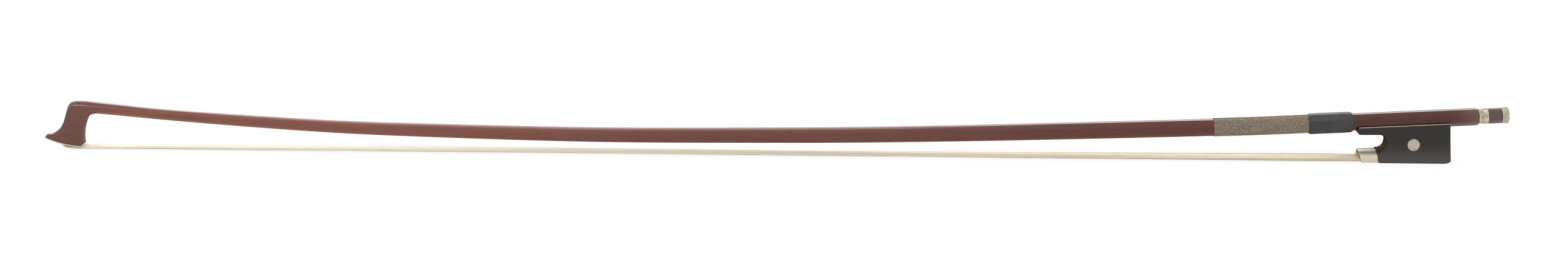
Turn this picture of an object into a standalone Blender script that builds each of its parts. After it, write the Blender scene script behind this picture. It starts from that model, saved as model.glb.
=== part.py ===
"""A violin bow, lying ready to play: stick on top, hair below, standing on the frog's sole and the head.

+X runs from the head to the button, +Z is up, and the player's side faces -Y. The origin is halfway
along the bow, on the surface that it stands on. All lengths are in metres.

The bow is three bodies. The stick carries the head, the hair, the winding and the leather. The frog
slides along the straight, octagonal handle. The screw turns in the handle and pulls the frog by its
eyelet, one thread pitch for each turn of the button.
"""

from math import atan2, ceil, cos, hypot, pi, radians, sin, tan

import bmesh
import bpy
from mathutils import Matrix, Vector

MM = 0.001

# The whole bow, and the straight handle that the frog rides on
LENGTH = 745 * MM
HANDLE_ANGLE = radians(3.12)
HANDLE_FLATS = 8.3 * MM
BUTTON_LENGTH = 15.4 * MM
BUTT_X = LENGTH / 2 - BUTTON_LENGTH * cos(HANDLE_ANGLE)
BUTT_HEIGHT = 23.34 * MM
HANDLE_STARTS = -107 * MM

# Clearances: seats that only touch, and the running gaps of the moving parts
SEAT_GAP = 0.07 * MM
RUN_GAP = 0.3 * MM

# The stick: height of its middle and its thickness, at places along the bow
CAMBER = (
    (-343.9, 20.95),
    (-338.2, 20.44),
    (-313.3, 18.05),
    (-275.8, 15.38),
    (-219.7, 12.21),
    (-163.5, 10.65),
    (-107.4, 9.66),
    (-70.1, 9.47),
    (-14.2, 9.93),
    (41.6, 10.67),
    (97.3, 12.09),
    (152.8, 13.91),
    (208.1, 15.84),
    (244.9, 17.28),
    (270.0, 18.60),
)
TAPER = (
    (-343.9, 5.52),
    (-338.2, 5.45),
    (-313.0, 5.20),
    (-257.0, 6.10),
    (-163.0, 7.20),
    (-51.0, 7.90),
    (60.0, 8.15),
    (208.0, 8.22),
    (270.0, 8.30),
)
# How octagonal the stick is: 1 has sharp facets, 0 is round
FACETS = (
    (-343.9, 1.0),
    (-300.0, 0.70),
    (-240.0, 0.15),
    (-180.0, 0.0),
    (-30.0, 0.0),
    (60.0, 0.25),
    (150.0, 0.85),
    (200.0, 1.0),
    (270.0, 1.0),
)
SHAFT_STEP = 9.5 * MM
HANDLE_RINGS = (0.28, 0.65)
SLOPE_STEP = 2 * MM
# Angles from the top of half a section: the four corners of the facets, and two points on each facet
HALF_SECTION = (0, 22.5, 37.5, 52.5, 67.5, 82.5, 97.5, 112.5, 127.5, 142.5, 157.5, 180)
BUTT_CHAMFER = 0.55 * MM
NIPPLE_RADIUS = 2.5 * MM
NIPPLE_LENGTH = 2.9 * MM
NIPPLE_CHAMFER = 0.25 * MM
BORE_PAST_NIPPLE = 1 * MM

# The head. Each station has its front edge (x, z), its rear edge (x, z), the half-widths of its front
# and rear corners, and how far the front corner stands back from the ridge, as a share of the station.
HEAD_STATIONS = (
    ((-344.9, 23.82), (-344.5, 18.20), 2.60, 1.40, 0.28),
    ((-349.2, 24.36), (-346.9, 17.86), 2.52, 1.75, 0.22),
    ((-353.4, 24.62), (-348.9, 16.70), 2.48, 2.25, 0.17),
    ((-357.0, 24.15), (-350.3, 14.20), 2.42, 2.65, 0.12),
    ((-359.1, 22.45), (-351.3, 11.60), 2.35, 2.85, 0.09),
    ((-360.3, 19.60), (-351.9, 9.40), 2.28, 3.10, 0.07),
    ((-361.5, 15.90), (-352.25, 7.30), 2.20, 3.45, 0.06),
    ((-362.6, 12.85), (-352.5, 5.45), 2.10, 3.85, 0.05),
    ((-364.6, 9.85), (-352.65, 4.15), 1.85, 4.25, 0.05),
    ((-367.9, 7.60), (-352.7, 3.30), 1.50, 4.55, 0.04),
    ((-370.8, 7.00), (-352.7, 2.80), 1.05, 4.75, 0.04),
    ((-372.1, 5.75), (-352.7, 2.45), 0.60, 4.85, 0.03),
)
HEAD_RINGS_PER_STATION = 3
HEAD_SHAPE_ENDS = 4
# The last stations swell downwards into the curved seat of the face plate
SEAT_STATIONS = 4
SEAT_SWELL = 0.65 * MM
SEAT_FULLNESS = 0.75 * MM
CHEEK_HOLLOW = 0.22 * MM
LINING = 0.40 * MM
PLATE = 0.62 * MM
PLATE_NOSE = 0.05 * MM
NOSE_LENGTH = 0.05 * MM

# The pocket in the head, its plug and the knot
HEAD_POCKET = (-364.0 * MM, -354.9 * MM)
HEAD_POCKET_FLOOR = -1.0 * MM
HEAD_POCKET_TOP = 6.6 * MM
HEAD_POCKET_HALF_WIDTHS = (2.6 * MM, 1.75 * MM)
HEAD_POCKET_UNDERCUT = 0.35 * MM
HEAD_PLUG_FRONT = -361.6 * MM
HEAD_PLUG_HEIGHTS = (1.60 * MM, 6.3 * MM)
HEAD_PLUG_RISE = 0.65 * MM
HEAD_PLUG_HALF_WIDTH = 1.6 * MM
HEAD_PLUG_CORNER = 0.9 * MM
KNOT_HALF_THICKNESS = 0.85 * MM
HEAD_KNOT = (1.45 * MM, 1.8 * MM)
FROG_KNOT = (3.1 * MM, 2.7 * MM)

# The hair: half-width and thickness of the ribbon at places along its middle
HAIR_PATH = (
    ((-363.15, 4.3), 1.6, 0.9),
    ((-363.2, 3.3), 1.8, 0.9),
    ((-363.05, 2.2), 2.1, 0.9),
    ((-362.2, 1.25), 2.35, 0.9),
    ((-360.5, 0.72), 2.8, 0.95),
    ((-357.6, 0.60), 3.5, 1.05),
    ((-353.4, 0.56), 4.1, 0.98),
    ((-350.0, 0.68), 4.3, 1.00),
    ((-345.0, 0.92), 4.4, 1.15),
    ((-300.0, 1.00), 4.5, 1.20),
    ((-201.0, 1.01), 4.6, 1.20),
    ((-101.0, 1.03), 4.8, 1.22),
    ((-1.0, 1.08), 5.0, 1.28),
    ((98.0, 1.12), 5.1, 1.45),
    ((180.0, 1.17), 5.3, 1.75),
    ((240.0, 1.25), 5.45, 2.05),
    ((282.0, 1.35), 5.5, 2.20),
    ((296.0, 1.45), 5.5, 1.90),
    ((300.5, 1.52), 5.5, 1.50),
    ((305.0, 1.90), 5.2, 1.10),
    ((307.2, 2.20), 4.9, 0.85),
    ((308.4, 2.25), 3.8, 0.85),
    ((318.0, 2.35), 3.5, 0.85),
    ((322.6, 2.50), 3.4, 0.90),
    ((323.9, 3.30), 3.4, 0.90),
    ((324.3, 4.60), 3.3, 0.90),
    ((324.3, 5.60), 3.3, 0.90),
)
HAIR_SECTION_POINTS = 10
HAIR_FULLNESS = 0.6
HAIR_LONG_RUN = 20

# The winding and the leather, by their ends along the bow
LAPPING_FRONT = 224.4 * MM
LAPPING_REAR = 272.2 * MM
LAPPING_CORE = 0.13 * MM
LAPPING_THREAD_RADIUS = 0.13 * MM
LAPPING_THREAD_LIFT = 0.12 * MM
LAPPING_TURNS = 24
LAPPING_POINTS_PER_TURN = 16
LAPPING_LEAST_GAP = 0.4 * MM
LAPPING_CORNER = 21.0
LAPPING_RINGS = 6
LEATHER_REAR = 294.3 * MM
LEATHER_THICKNESS = 0.80 * MM
# The front edge's distances from the front, and the share of the full thickness there
LEATHER_FRONT_EDGE = ((0.0, 0.62), (0.35, 0.95), (0.80, 1.0))
LEATHER_END_LENGTH = 1.9 * MM
LEATHER_GAP = 0.15 * MM

# The frog, in the handle's own directions: u along the axis from the butt, v square to it
FROG_FRONT = -61.25 * MM
FROG_REAR = -14.5 * MM
CHEEK_TOP = -2.29 * MM
FROG_ROUNDING = 0.45 * MM
FROG_FRONT_EASING = 0.6 * MM
FROG_FRONT_RADIUS = 2.2 * MM
THUMB_EDGE_START = 3.4 * MM
THUMB_EDGE_V = -5.95 * MM
THROAT_CENTRE = (-50.25 * MM, -10.1 * MM)
THROAT_RADIUS = 3.8 * MM
THROAT_STEPS = 18
LIP_ABOVE_FERRULE = 0.45 * MM
# How the throat's edges are rounded: (half-width, depth) along the thumb projection and the upper throat,
# and at the lip, where the ebony takes the ferrule's round top
THUMB_ROUNDING = (0.8 * MM, 0.8 * MM)
LIP_ROUNDING = (5.0 * MM, 3.9 * MM)
ROUNDING_GROWS = (radians(-5), radians(-95))
ROUNDING_TURNS = (radians(22.5), radians(45), radians(67.5))
# As shares of the rounding's width and depth: where its cutter starts above the flat, and ends past the cheek
ROUNDING_START = (0.1, 0.04)
ROUNDING_END = (1.03, 1.12)
HEEL_CHAMFER = (3.2 * MM, 1.2 * MM)
HEEL_CHAMFER_MIDDLE = (0.4, 0.28)
# How far the cutters of the frog reach past its faces
PAST_FACE = 3 * MM
PAST_CHEEK = 9 * MM
PAST_SEAT = 1 * MM
# The cheek's half-width in millimetres, from the top (0) to the sole (1): nearly upright as far as the
# eye, then hollowed out to a wide sole
CHEEK_PROFILE = (
    (-0.05, 5.30),
    (0.00, 5.30),
    (0.28, 5.33),
    (0.46, 5.39),
    (0.68, 5.58),
    (0.80, 5.80),
    (0.90, 6.07),
    (1.00, 6.38),
    (1.05, 6.54),
)

# The underslide between frog and stick
LINER_THICKNESS = 0.32 * MM
LINER_FRONT = -60.2 * MM
LINER_REAR = -14.35 * MM
LINER_EDGE_V = -1.90 * MM
LINER_EDGE_HALF_WIDTH = 5.22 * MM
LINER_PIN_RADIUS = 0.9 * MM
LINER_PIN_FROM_END = 3.2 * MM
LINER_PIN_LENGTH = 0.75 * MM
LINER_CUT_DEPTH = 8 * MM

# The pearl eyes
EYE_CENTRE = (-33.04 * MM, -12.09 * MM)
EYE_RADIUS = 3.08 * MM
EYE_THICKNESS = 0.9 * MM
EYE_SINK = 0.02 * MM

# The ferrule: its ends lean, and its top keeps the handle's slope
FERRULE_HALF_WIDTH = 6.2 * MM
FERRULE_WALL = 0.45 * MM
FERRULE_FRONT_BOTTOM = 299.0 * MM
FERRULE_FRONT_TOP = (297.35 * MM, 5.75 * MM)
FERRULE_REAR_BOTTOM = 307.5 * MM
FERRULE_REAR_TOP = (306.5 * MM, 6.15 * MM)
FERRULE_BOTTOM = 0.12 * MM
FERRULE_SHOULDER = 2.3 * MM
FERRULE_CORNER = 0.9 * MM
FERRULE_LEAST_CORNER = 0.3 * MM
FERRULE_SEAT_GAP = 0.105 * MM
# The round top is a little fuller than an ellipse, which has the exponent 2
FERRULE_FULLNESS = 2.3
FERRULE_TOP_STEPS = 14
TONGUE_BOTTOM = 3.95 * MM
TONGUE_FRONT = 299.2 * MM

# The wedge, the slide and the pocket under the frog
WEDGE_X = (297.6 * MM, 305.6 * MM)
WEDGE_HEIGHTS = (2.62 * MM, 3.80 * MM)
WEDGE_HALF_WIDTH = 5.2 * MM
WEDGE_LOWER_EDGE = ((0.0, 0.1), (0.5, 0.0))
WEDGE_UPPER_EDGE = ((2.2, 0.0), (0.6, -0.35))
SLIDE_REAR = 334.5 * MM
SLIDE_HALF_WIDTH = 4.1 * MM
SLIDE_FLARE = 0.45 * MM
SLIDE_DEPTH = 1.75 * MM
SLIDE_LIFT = 0.02 * MM
SLIDE_SIDE_GAP = 0.085 * MM
SLIDE_BED_START = -0.5 * MM
PEARL_THICKNESS = 0.75 * MM
CHANNEL_HALF_WIDTH = 4.0 * MM
CHANNEL_TOP = 3.3 * MM
FUNNEL_END = 308.6 * MM
FUNNEL_HALF_WIDTH = 5.4 * MM
FUNNEL_TOP = 2.9 * MM
FROG_POCKET = (314.5 * MM, 325.2 * MM)
FROG_POCKET_HALF_WIDTH = 3.8 * MM
FROG_POCKET_TOP = 9.4 * MM
FROG_PLUG_REAR = 322.6 * MM
FROG_PLUG_BOTTOM = 3.15 * MM
FROG_PLUG_CORNER = 1.0 * MM
FROG_KNOT_BACK = 0.1 * MM
PLUG_GAP = 0.15 * MM

# The screw, its eyelet and the slot that lets the frog travel
SCREW_RADIUS = 1.2 * MM
SCREW_TIP = -46.0 * MM
SCREW_POINT = (1.2 * MM, 0.6 * MM)
SCREW_IN_CAP = 2.0 * MM
BORE_RADIUS = 1.5 * MM
BORE_END = -47.5 * MM
SLOT = (-40.0 * MM, -24.5 * MM)
SLOT_HALF_WIDTH = 2.1 * MM
EYELET_U = -34.0 * MM
EYELET_HALF_LENGTH = 2.5 * MM
EYELET_HALF_WIDTH = 1.8 * MM
EYELET_TOP = 2.5 * MM
EYELET_HOLE_RADIUS = 1.35 * MM
EYELET_STEM_RADIUS = 1.25 * MM
EYELET_STEM_JOIN = 0.6 * MM
EYELET_STEM_END = -9.2 * MM

# The button, along the axis from the butt
BUTTON_START = 0.12 * MM
COLLAR_END = 5.0 * MM
CORE_END = 11.85 * MM
CORE_FLATS = 7.2 * MM
CORE_EDGE = 0.12 * MM
CORE_EDGE_LENGTH = 0.2 * MM
CORE_BORE_GAP = 0.12 * MM
CAP_FLATS = 7.45 * MM
CAP_WALL = 0.8 * MM
RING_BORE_RADIUS = 3.0 * MM
TENON_RADIUS = 2.9 * MM
TENON_START = 3.2 * MM
TENON_END_GAP = 0.5 * MM
# The collar: a front ring, a bead between two grooves, and a wide ring
COLLAR_PROFILE = (
    (0.00, 3.42),
    (0.12, 3.60),
    (0.84, 3.60),
    (0.96, 3.36),
    (1.12, 3.36),
    (1.22, 3.50),
    (1.50, 3.58),
    (1.78, 3.50),
    (1.88, 3.36),
    (2.04, 3.36),
    (2.16, 3.60),
    (2.30, 3.66),
    (4.65, 3.66),
    (4.88, 3.60),
)
# The cap's outside: the distance from the core or from the end, and how far it stands in
CAP_FRONT_PROFILE = ((0.0, 0.08), (0.2, 0.0))
CAP_END_PROFILE = ((0.7, 0.0), (0.2, 0.25), (0.0, 0.8))

# The finishes: base colour, roughness and metallic value
PERNAMBUCO = ((0.19, 0.085, 0.065), 0.30, 0.0)
EBONY = ((0.045, 0.040, 0.040), 0.38, 0.0)
IVORY = ((0.80, 0.72, 0.50), 0.35, 0.0)
PEARL = ((0.50, 0.45, 0.36), 0.25, 0.0)
HORSEHAIR = ((0.86, 0.76, 0.62), 0.55, 0.0)
SILK = ((0.20, 0.15, 0.10), 0.60, 0.0)
WOUND_WIRE = ((0.30, 0.25, 0.18), 0.42, 0.6)
LEATHER = ((0.062, 0.062, 0.062), 0.60, 0.0)
NICKEL_SILVER = ((0.62, 0.56, 0.45), 0.38, 1.0)
SILVER = ((0.46, 0.41, 0.30), 0.35, 1.0)
BRASS = ((0.70, 0.52, 0.24), 0.35, 1.0)
STEEL = ((0.50, 0.50, 0.50), 0.30, 1.0)
WEDGE_WOOD = ((0.50, 0.24, 0.09), 0.60, 0.0)
PLUG_WOOD = ((0.60, 0.42, 0.25), 0.70, 0.0)
BUTTON_WOOD = ((0.15, 0.10, 0.085), 0.45, 0.0)
FINISHES = {
    "stick": PERNAMBUCO,
    "head_lining": EBONY,
    "head_plate": IVORY,
    "head_plug": PLUG_WOOD,
    "head_knot": HORSEHAIR,
    "hair_ribbon": HORSEHAIR,
    "lapping_core": SILK,
    "lapping": WOUND_WIRE,
    "thumb_leather": LEATHER,
    "frog": EBONY,
    "frog_liner": SILVER,
    "liner_pin_front": SILVER,
    "liner_pin_rear": SILVER,
    "eye_front": PEARL,
    "eye_back": PEARL,
    "ferrule": NICKEL_SILVER,
    "spread_wedge": WEDGE_WOOD,
    "pearl_slide": PEARL,
    "slide_backing": EBONY,
    "frog_plug": PLUG_WOOD,
    "frog_knot": HORSEHAIR,
    "eyelet": BRASS,
    "screw": STEEL,
    "button_core": BUTTON_WOOD,
    "button_collar": NICKEL_SILVER,
    "button_cap": NICKEL_SILVER,
}


def clear_scene():
    for old in list(bpy.data.objects):
        bpy.data.objects.remove(old, do_unlink=True)


def finish_of(name):
    """The piece's own material, or none for a cutter."""
    if name not in FINISHES:
        return None
    colour, roughness, metallic = FINISHES[name]
    made = bpy.data.materials.new(f"{name}_finish")
    made.use_nodes = True
    shader = made.node_tree.nodes["Principled BSDF"]
    shader.inputs["Base Color"].default_value = (*colour, 1.0)
    shader.inputs["Roughness"].default_value = roughness
    shader.inputs["Metallic"].default_value = metallic
    made.diffuse_color = (*colour, 1.0)
    return made


def empty(name, matrix):
    """A guide that carries the pieces of one moving body on its joint's axis."""
    guide = bpy.data.objects.new(name, None)
    guide.empty_display_size = 10 * MM
    guide.matrix_world = matrix
    bpy.context.collection.objects.link(guide)
    return guide


def new_object(name, shape, parent=None, smooth=30):
    """Turns a bmesh into a named object, shaded smooth except over edges sharper than `smooth` degrees."""
    bmesh.ops.recalc_face_normals(shape, faces=shape.faces)
    mesh = bpy.data.meshes.new(name)
    shape.to_mesh(mesh)
    shape.free()
    mesh.shade_smooth()
    mesh.set_sharp_from_angle(angle=radians(smooth))
    finish = finish_of(name)
    if finish:
        mesh.materials.append(finish)
    made = bpy.data.objects.new(name, mesh)
    made.parent = parent
    bpy.context.collection.objects.link(made)
    return made


def cut(target, cutters, operation="DIFFERENCE"):
    """Adds one Boolean for each cutter, and hides the cutters. What they cut away is left with crisp edges."""
    for cutter in cutters:
        if operation == "DIFFERENCE":
            cutter.data.shade_flat()
        cutter.hide_render = True
        cutter.display_type = "WIRE"
        boolean = target.modifiers.new(cutter.name, "BOOLEAN")
        boolean.operation = operation
        boolean.solver = "EXACT"
        boolean.object = cutter


def curve_value(table, x):
    """Reads a smooth curve through the (place, value) pairs of a table."""
    last = len(table) - 2
    i = min(max(sum(place <= x for place, _ in table) - 1, 0), last)
    x0, y0 = table[i]
    x1, y1 = table[i + 1]
    secant = (y1 - y0) / (x1 - x0)

    def slope(k):
        if k == 0:
            return (table[1][1] - table[0][1]) / (table[1][0] - table[0][0])
        if k == len(table) - 1:
            return (table[-1][1] - table[-2][1]) / (table[-1][0] - table[-2][0])
        return (table[k + 1][1] - table[k - 1][1]) / (table[k + 1][0] - table[k - 1][0])

    t = min(max((x - x0) / (x1 - x0), 0.0), 1.0)
    width = x1 - x0
    start = slope(i)
    end = slope(i + 1)
    bend_in = start - secant
    bend_out = secant - end
    return y0 + secant * width * t + width * t * (1 - t) * (bend_in * (1 - t) + bend_out * t)


def along(table, x):
    """The same for a place along the bow in metres, and a table in millimetres."""
    return curve_value(table, x / MM) * MM


def handle_point(u, v, y=0.0):
    """A point given along and square to the handle's axis, in the bow's own frame."""
    x = BUTT_X + u * cos(HANDLE_ANGLE) - v * sin(HANDLE_ANGLE)
    z = BUTT_HEIGHT + u * sin(HANDLE_ANGLE) + v * cos(HANDLE_ANGLE)
    return Vector((x, y, z))


def to_handle(x, z):
    """The reverse: a point of the bow's side view, along and square to the handle's axis."""
    dx = x - BUTT_X
    dz = z - BUTT_HEIGHT
    u = dx * cos(HANDLE_ANGLE) + dz * sin(HANDLE_ANGLE)
    v = dz * cos(HANDLE_ANGLE) - dx * sin(HANDLE_ANGLE)
    return u, v


def octagon_radius(degrees, flats):
    """Distance from the middle to a facet, or to a corner at 22.5, 67.5, 112.5 and so on."""
    off_normal = (degrees + 22.5) % 45 - 22.5
    return flats / 2 / cos(radians(off_normal))


def loft(rings, cap_start=True, cap_end=True):
    """Skins closed rings that have the same number of points, and closes the two ends."""
    shape = bmesh.new()
    made = []
    for ring in rings:
        made.append([shape.verts.new(point) for point in ring])
    count = len(made[0])
    for near, far in zip(made, made[1:]):
        for i in range(count):
            j = (i + 1) % count
            shape.faces.new((near[i], near[j], far[j], far[i]))
    if cap_start:
        shape.faces.new(list(reversed(made[0])))
    if cap_end:
        shape.faces.new(made[-1])
    return shape, made


def tube(outer, inner):
    """A hollow loft: outer rings one way, inner rings back, so that both ends are open annuli."""
    shape = bmesh.new()
    rings = list(outer) + list(reversed(inner))
    made = [[shape.verts.new(point) for point in ring] for ring in rings]
    count = len(made[0])
    for near, far in zip(made, made[1:] + made[:1]):
        for i in range(count):
            j = (i + 1) % count
            shape.faces.new((near[i], near[j], far[j], far[i]))
    return shape


def extrude_outline(outline, half_width):
    """Makes a plate of even thickness from a side outline."""
    shape = bmesh.new()
    near = [shape.verts.new((a, -half_width, b)) for a, b in outline]
    far = [shape.verts.new((a, half_width, b)) for a, b in outline]
    shape.faces.new(near)
    shape.faces.new(list(reversed(far)))
    count = len(outline)
    for i in range(count):
        j = (i + 1) % count
        shape.faces.new((near[j], near[i], far[i], far[j]))
    return shape


def box(low, high):
    shape = bmesh.new()
    size = Vector(high) - Vector(low)
    middle = (Vector(high) + Vector(low)) / 2
    matrix = Matrix.Translation(middle) @ Matrix.Diagonal((*size, 1.0))
    bmesh.ops.create_cube(shape, size=1.0, matrix=matrix)
    return shape


def rod(start, end, radius, sides=24, tip_radius=None):
    """A round bar between two points."""
    shape = bmesh.new()
    start = Vector(start)
    end = Vector(end)
    line = end - start
    turn = line.to_track_quat("Z", "Y").to_matrix().to_4x4()
    matrix = Matrix.Translation((start + end) / 2) @ turn
    bmesh.ops.create_cone(
        shape,
        cap_ends=True,
        segments=sides,
        radius1=radius,
        radius2=radius if tip_radius is None else tip_radius,
        depth=line.length,
        matrix=matrix,
    )
    return shape


def arc(centre, radius, start, end, steps):
    """Points on a circle, from one angle to another in degrees."""
    points = []
    for i in range(steps + 1):
        angle = radians(start + (end - start) * i / steps)
        points.append((centre[0] + radius * cos(angle), centre[1] + radius * sin(angle)))
    return points


def stick_middle(x):
    """Height of the stick's middle, and its slope. The handle is a straight line."""
    straight_from = BUTT_X + HANDLE_STARTS
    slope = tan(HANDLE_ANGLE)
    if x >= straight_from:
        return BUTT_HEIGHT + (x - BUTT_X) * slope, slope
    rise = along(CAMBER, x + SLOPE_STEP) - along(CAMBER, x - SLOPE_STEP)
    return along(CAMBER, x), rise / (2 * SLOPE_STEP)


def section_shape(flats, facets):
    """Half a section of the shaft as (distance down from the top, half-width) pairs."""
    pairs = []
    for degrees in HALF_SECTION:
        sharp = octagon_radius(degrees, flats)
        radius = flats / 2 + facets * (sharp - flats / 2)
        angle = radians(degrees)
        pairs.append((flats / 2 - radius * cos(angle), radius * sin(angle)))
    return pairs


def full_ring(top, down, across):
    """Closes half a section into a ring: down one side and up the other.

    top is the section's top point, down its direction towards the underside, and across holds
    (distance, half-width, lift) for each point, lift being square to down in the side view.
    """
    forward = Vector((-down.z, 0.0, down.x))
    near = []
    far = []
    for distance, half_width, lift in across:
        place = top + down * distance + forward * lift
        near.append(place + Vector((0.0, -half_width, 0.0)))
        far.append(place + Vector((0.0, half_width, 0.0)))
    return near + list(reversed(far[1:-1]))


def shaft_ring(x, flats=None, facets=None):
    """The stick's section at one place, square to its middle line."""
    height, slope = stick_middle(x)
    flats = along(TAPER, x) if flats is None else flats
    facets = curve_value(FACETS, x / MM) if facets is None else facets
    length = hypot(1.0, slope)
    down = Vector((slope / length, 0.0, -1.0 / length))
    top = Vector((x, 0.0, height)) - down * flats / 2
    across = [(d, h, 0.0) for d, h in section_shape(flats, facets)]
    return full_ring(top, down, across)


def ring_on_handle(u, radii):
    """A ring round the handle's axis, from its radii at the angles of half a section."""
    points = []
    for degrees, radius in zip(HALF_SECTION, radii):
        angle = radians(degrees)
        points.append((radius * sin(angle), radius * cos(angle)))
    mirrored = [(-y, v) for y, v in reversed(points[1:-1])]
    return [handle_point(u, v, -y) for y, v in points + mirrored]


def handle_ring(u, flats):
    """The octagonal handle at one place."""
    return ring_on_handle(u, [octagon_radius(degrees, flats) for degrees in HALF_SECTION])


def nipple_ring(u, radius):
    """The round nipple that the button turns on."""
    return ring_on_handle(u, [radius] * len(HALF_SECTION))


def head_shape(front_half, rear_half, setback, length, hollow):
    """Half a section of the head: ridge, front corner, cheek and rear corner."""
    pairs = []
    for i in range(len(HALF_SECTION)):
        if i <= 4:
            share = i / 4
            distance = setback * share
            half_width = front_half * share
        elif i <= 10:
            share = (i - 4) / 6
            distance = setback + (1 - setback) * share
            half_width = front_half + (rear_half - front_half) * share - hollow * sin(pi * share)
        else:
            distance = 1.0
            half_width = 0.0
        pairs.append((distance * length, half_width))
    return pairs


def blend_pairs(first, second, share):
    return [
        (a[0] + (b[0] - a[0]) * share, a[1] + (b[1] - a[1]) * share) for a, b in zip(first, second)
    ]


def station_values():
    """The head's stations as rows of plain numbers, and more rows between them on a smooth curve."""
    rows = []
    for front, rear, front_half, rear_half, setback in HEAD_STATIONS:
        rows.append((*front, *rear, front_half, rear_half, setback))
    count = len(rows)
    values = []
    for step in range((count - 1) * HEAD_RINGS_PER_STATION + 1):
        place = step / HEAD_RINGS_PER_STATION
        row = []
        for column in range(len(rows[0])):
            table = [(k, rows[k][column]) for k in range(count)]
            row.append(curve_value(table, place))
        sizes = [value * MM for value in row[:-1]]
        values.append((place, (*sizes, row[-1])))
    return values


def head_rings():
    """Sections that turn from the shaft down through the head to the seat of the plate."""
    rings = []
    last = len(HEAD_STATIONS) - 1
    for place, (fx, fz, rx, rz, front_half, rear_half, setback) in station_values():
        front = Vector((fx, 0.0, fz))
        rear = Vector((rx, 0.0, rz))
        length = (rear - front).length
        down = (rear - front) / length
        seat_share = max(0.0, (place - last + SEAT_STATIONS) / SEAT_STATIONS)
        hollow = CHEEK_HOLLOW - (CHEEK_HOLLOW + SEAT_FULLNESS) * seat_share
        pairs = head_shape(front_half, rear_half, setback, length, hollow)
        octagon = section_shape(length, 1.0)
        narrow = min(1.0, along(TAPER, rx) / length)
        octagon = [(d, h * narrow) for d, h in octagon]
        share = min(1.0, place / HEAD_SHAPE_ENDS)
        share = share * share * (3 - 2 * share)
        pairs = blend_pairs(octagon, pairs, share)
        swell = -SEAT_SWELL * seat_share
        across = [(d, h, swell * 4 * (d / length) * (1 - d / length)) for d, h in pairs]
        rings.append(full_ring(front, down, across))
    return rings


def seat_curve():
    """The head's seat for lining and plate: (point, outward normal, half-width) from nose to rear."""
    ring = head_rings()[-1]
    half = len(HALF_SECTION)
    near = ring[:half]
    curve = []
    for i in range(1, half - 1):
        before = near[max(i - 1, 1)]
        after = near[min(i + 1, half - 2)]
        run = after - before
        normal = Vector((run.z, 0.0, -run.x)).normalized()
        curve.append((Vector((near[i].x, 0.0, near[i].z)), normal, -near[i].y))
    return curve


def make_stick():
    """The stick in one loft: nipple, octagonal handle, cambered shaft, head. Then its bore and pockets."""
    rings = [
        nipple_ring(NIPPLE_LENGTH, NIPPLE_RADIUS - NIPPLE_CHAMFER),
        nipple_ring(NIPPLE_LENGTH - NIPPLE_CHAMFER, NIPPLE_RADIUS),
        nipple_ring(0.0, NIPPLE_RADIUS),
        handle_ring(0.0, HANDLE_FLATS - 2 * BUTT_CHAMFER),
        handle_ring(-BUTT_CHAMFER, HANDLE_FLATS),
    ]
    straight_from = BUTT_X + HANDLE_STARTS
    for share in HANDLE_RINGS:
        rings.append(handle_ring(HANDLE_STARTS * share, HANDLE_FLATS))
    shaft_end = CAMBER[0][0] * MM
    steps = ceil((straight_from - shaft_end) / SHAFT_STEP)
    for i in range(steps + 1):
        x = straight_from + (shaft_end - straight_from) * i / steps
        rings.append(shaft_ring(x))
    rings += head_rings()[1:]
    shape, made = loft(rings, cap_end=False)
    half = len(HALF_SECTION)
    near = made[-1][:half]
    far = [made[-1][0]] + list(reversed(made[-1][half:])) + [near[-1]]
    shape.faces.new((near[0], near[1], far[1]))
    for i in range(1, half - 3):
        shape.faces.new((near[i], near[i + 1], far[i + 1], far[i]))
    i = half - 3
    shape.faces.new((near[i], near[i + 1], near[-1], far[i + 1], far[i]))
    stick = new_object("stick", shape)
    bore_start = handle_point(NIPPLE_LENGTH + BORE_PAST_NIPPLE, 0)
    bore = rod(bore_start, handle_point(BORE_END, 0), BORE_RADIUS)
    cutters = (
        new_object("cut_bore", bore),
        new_object("cut_slot", slot_shape()),
        new_object("cut_head_pocket", head_pocket(0.0)),
    )
    cut(stick, cutters)


def slot_shape():
    """The slot under the handle that the eyelet travels in, with round ends."""
    shape = bmesh.new()
    outline = arc((SLOT[1] - SLOT_HALF_WIDTH, 0.0), SLOT_HALF_WIDTH, -90, 90, 8)
    outline += arc((SLOT[0] + SLOT_HALF_WIDTH, 0.0), SLOT_HALF_WIDTH, 90, 270, 8)
    top = EYELET_TOP + RUN_GAP
    lower = [shape.verts.new(handle_point(u, -HANDLE_FLATS, y)) for u, y in outline]
    upper = [shape.verts.new(handle_point(u, top, y)) for u, y in outline]
    shape.faces.new(lower)
    shape.faces.new(list(reversed(upper)))
    count = len(outline)
    for i in range(count):
        j = (i + 1) % count
        shape.faces.new((lower[j], lower[i], upper[i], upper[j]))
    return shape


def head_pocket(grow):
    """The tapered pocket that holds the hair's knot, longer inside than at its mouth."""
    shape = bmesh.new()
    front, rear = HEAD_POCKET
    mouth, top = HEAD_POCKET_HALF_WIDTHS
    rows = ((HEAD_POCKET_FLOOR, 0.0, mouth), (HEAD_POCKET_TOP, HEAD_POCKET_UNDERCUT, top))
    corners = []
    for z, undercut, half_width in rows:
        half = half_width + grow
        a = front - undercut - grow
        b = rear + grow
        corners.append([(a, -half, z), (b, -half, z), (b, half, z), (a, half, z)])
    made = [[shape.verts.new(point) for point in row] for row in corners]
    for i in range(4):
        j = (i + 1) % 4
        shape.faces.new((made[0][i], made[0][j], made[1][j], made[1][i]))
    shape.faces.new(list(reversed(made[0])))
    shape.faces.new(made[1])
    return shape


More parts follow.
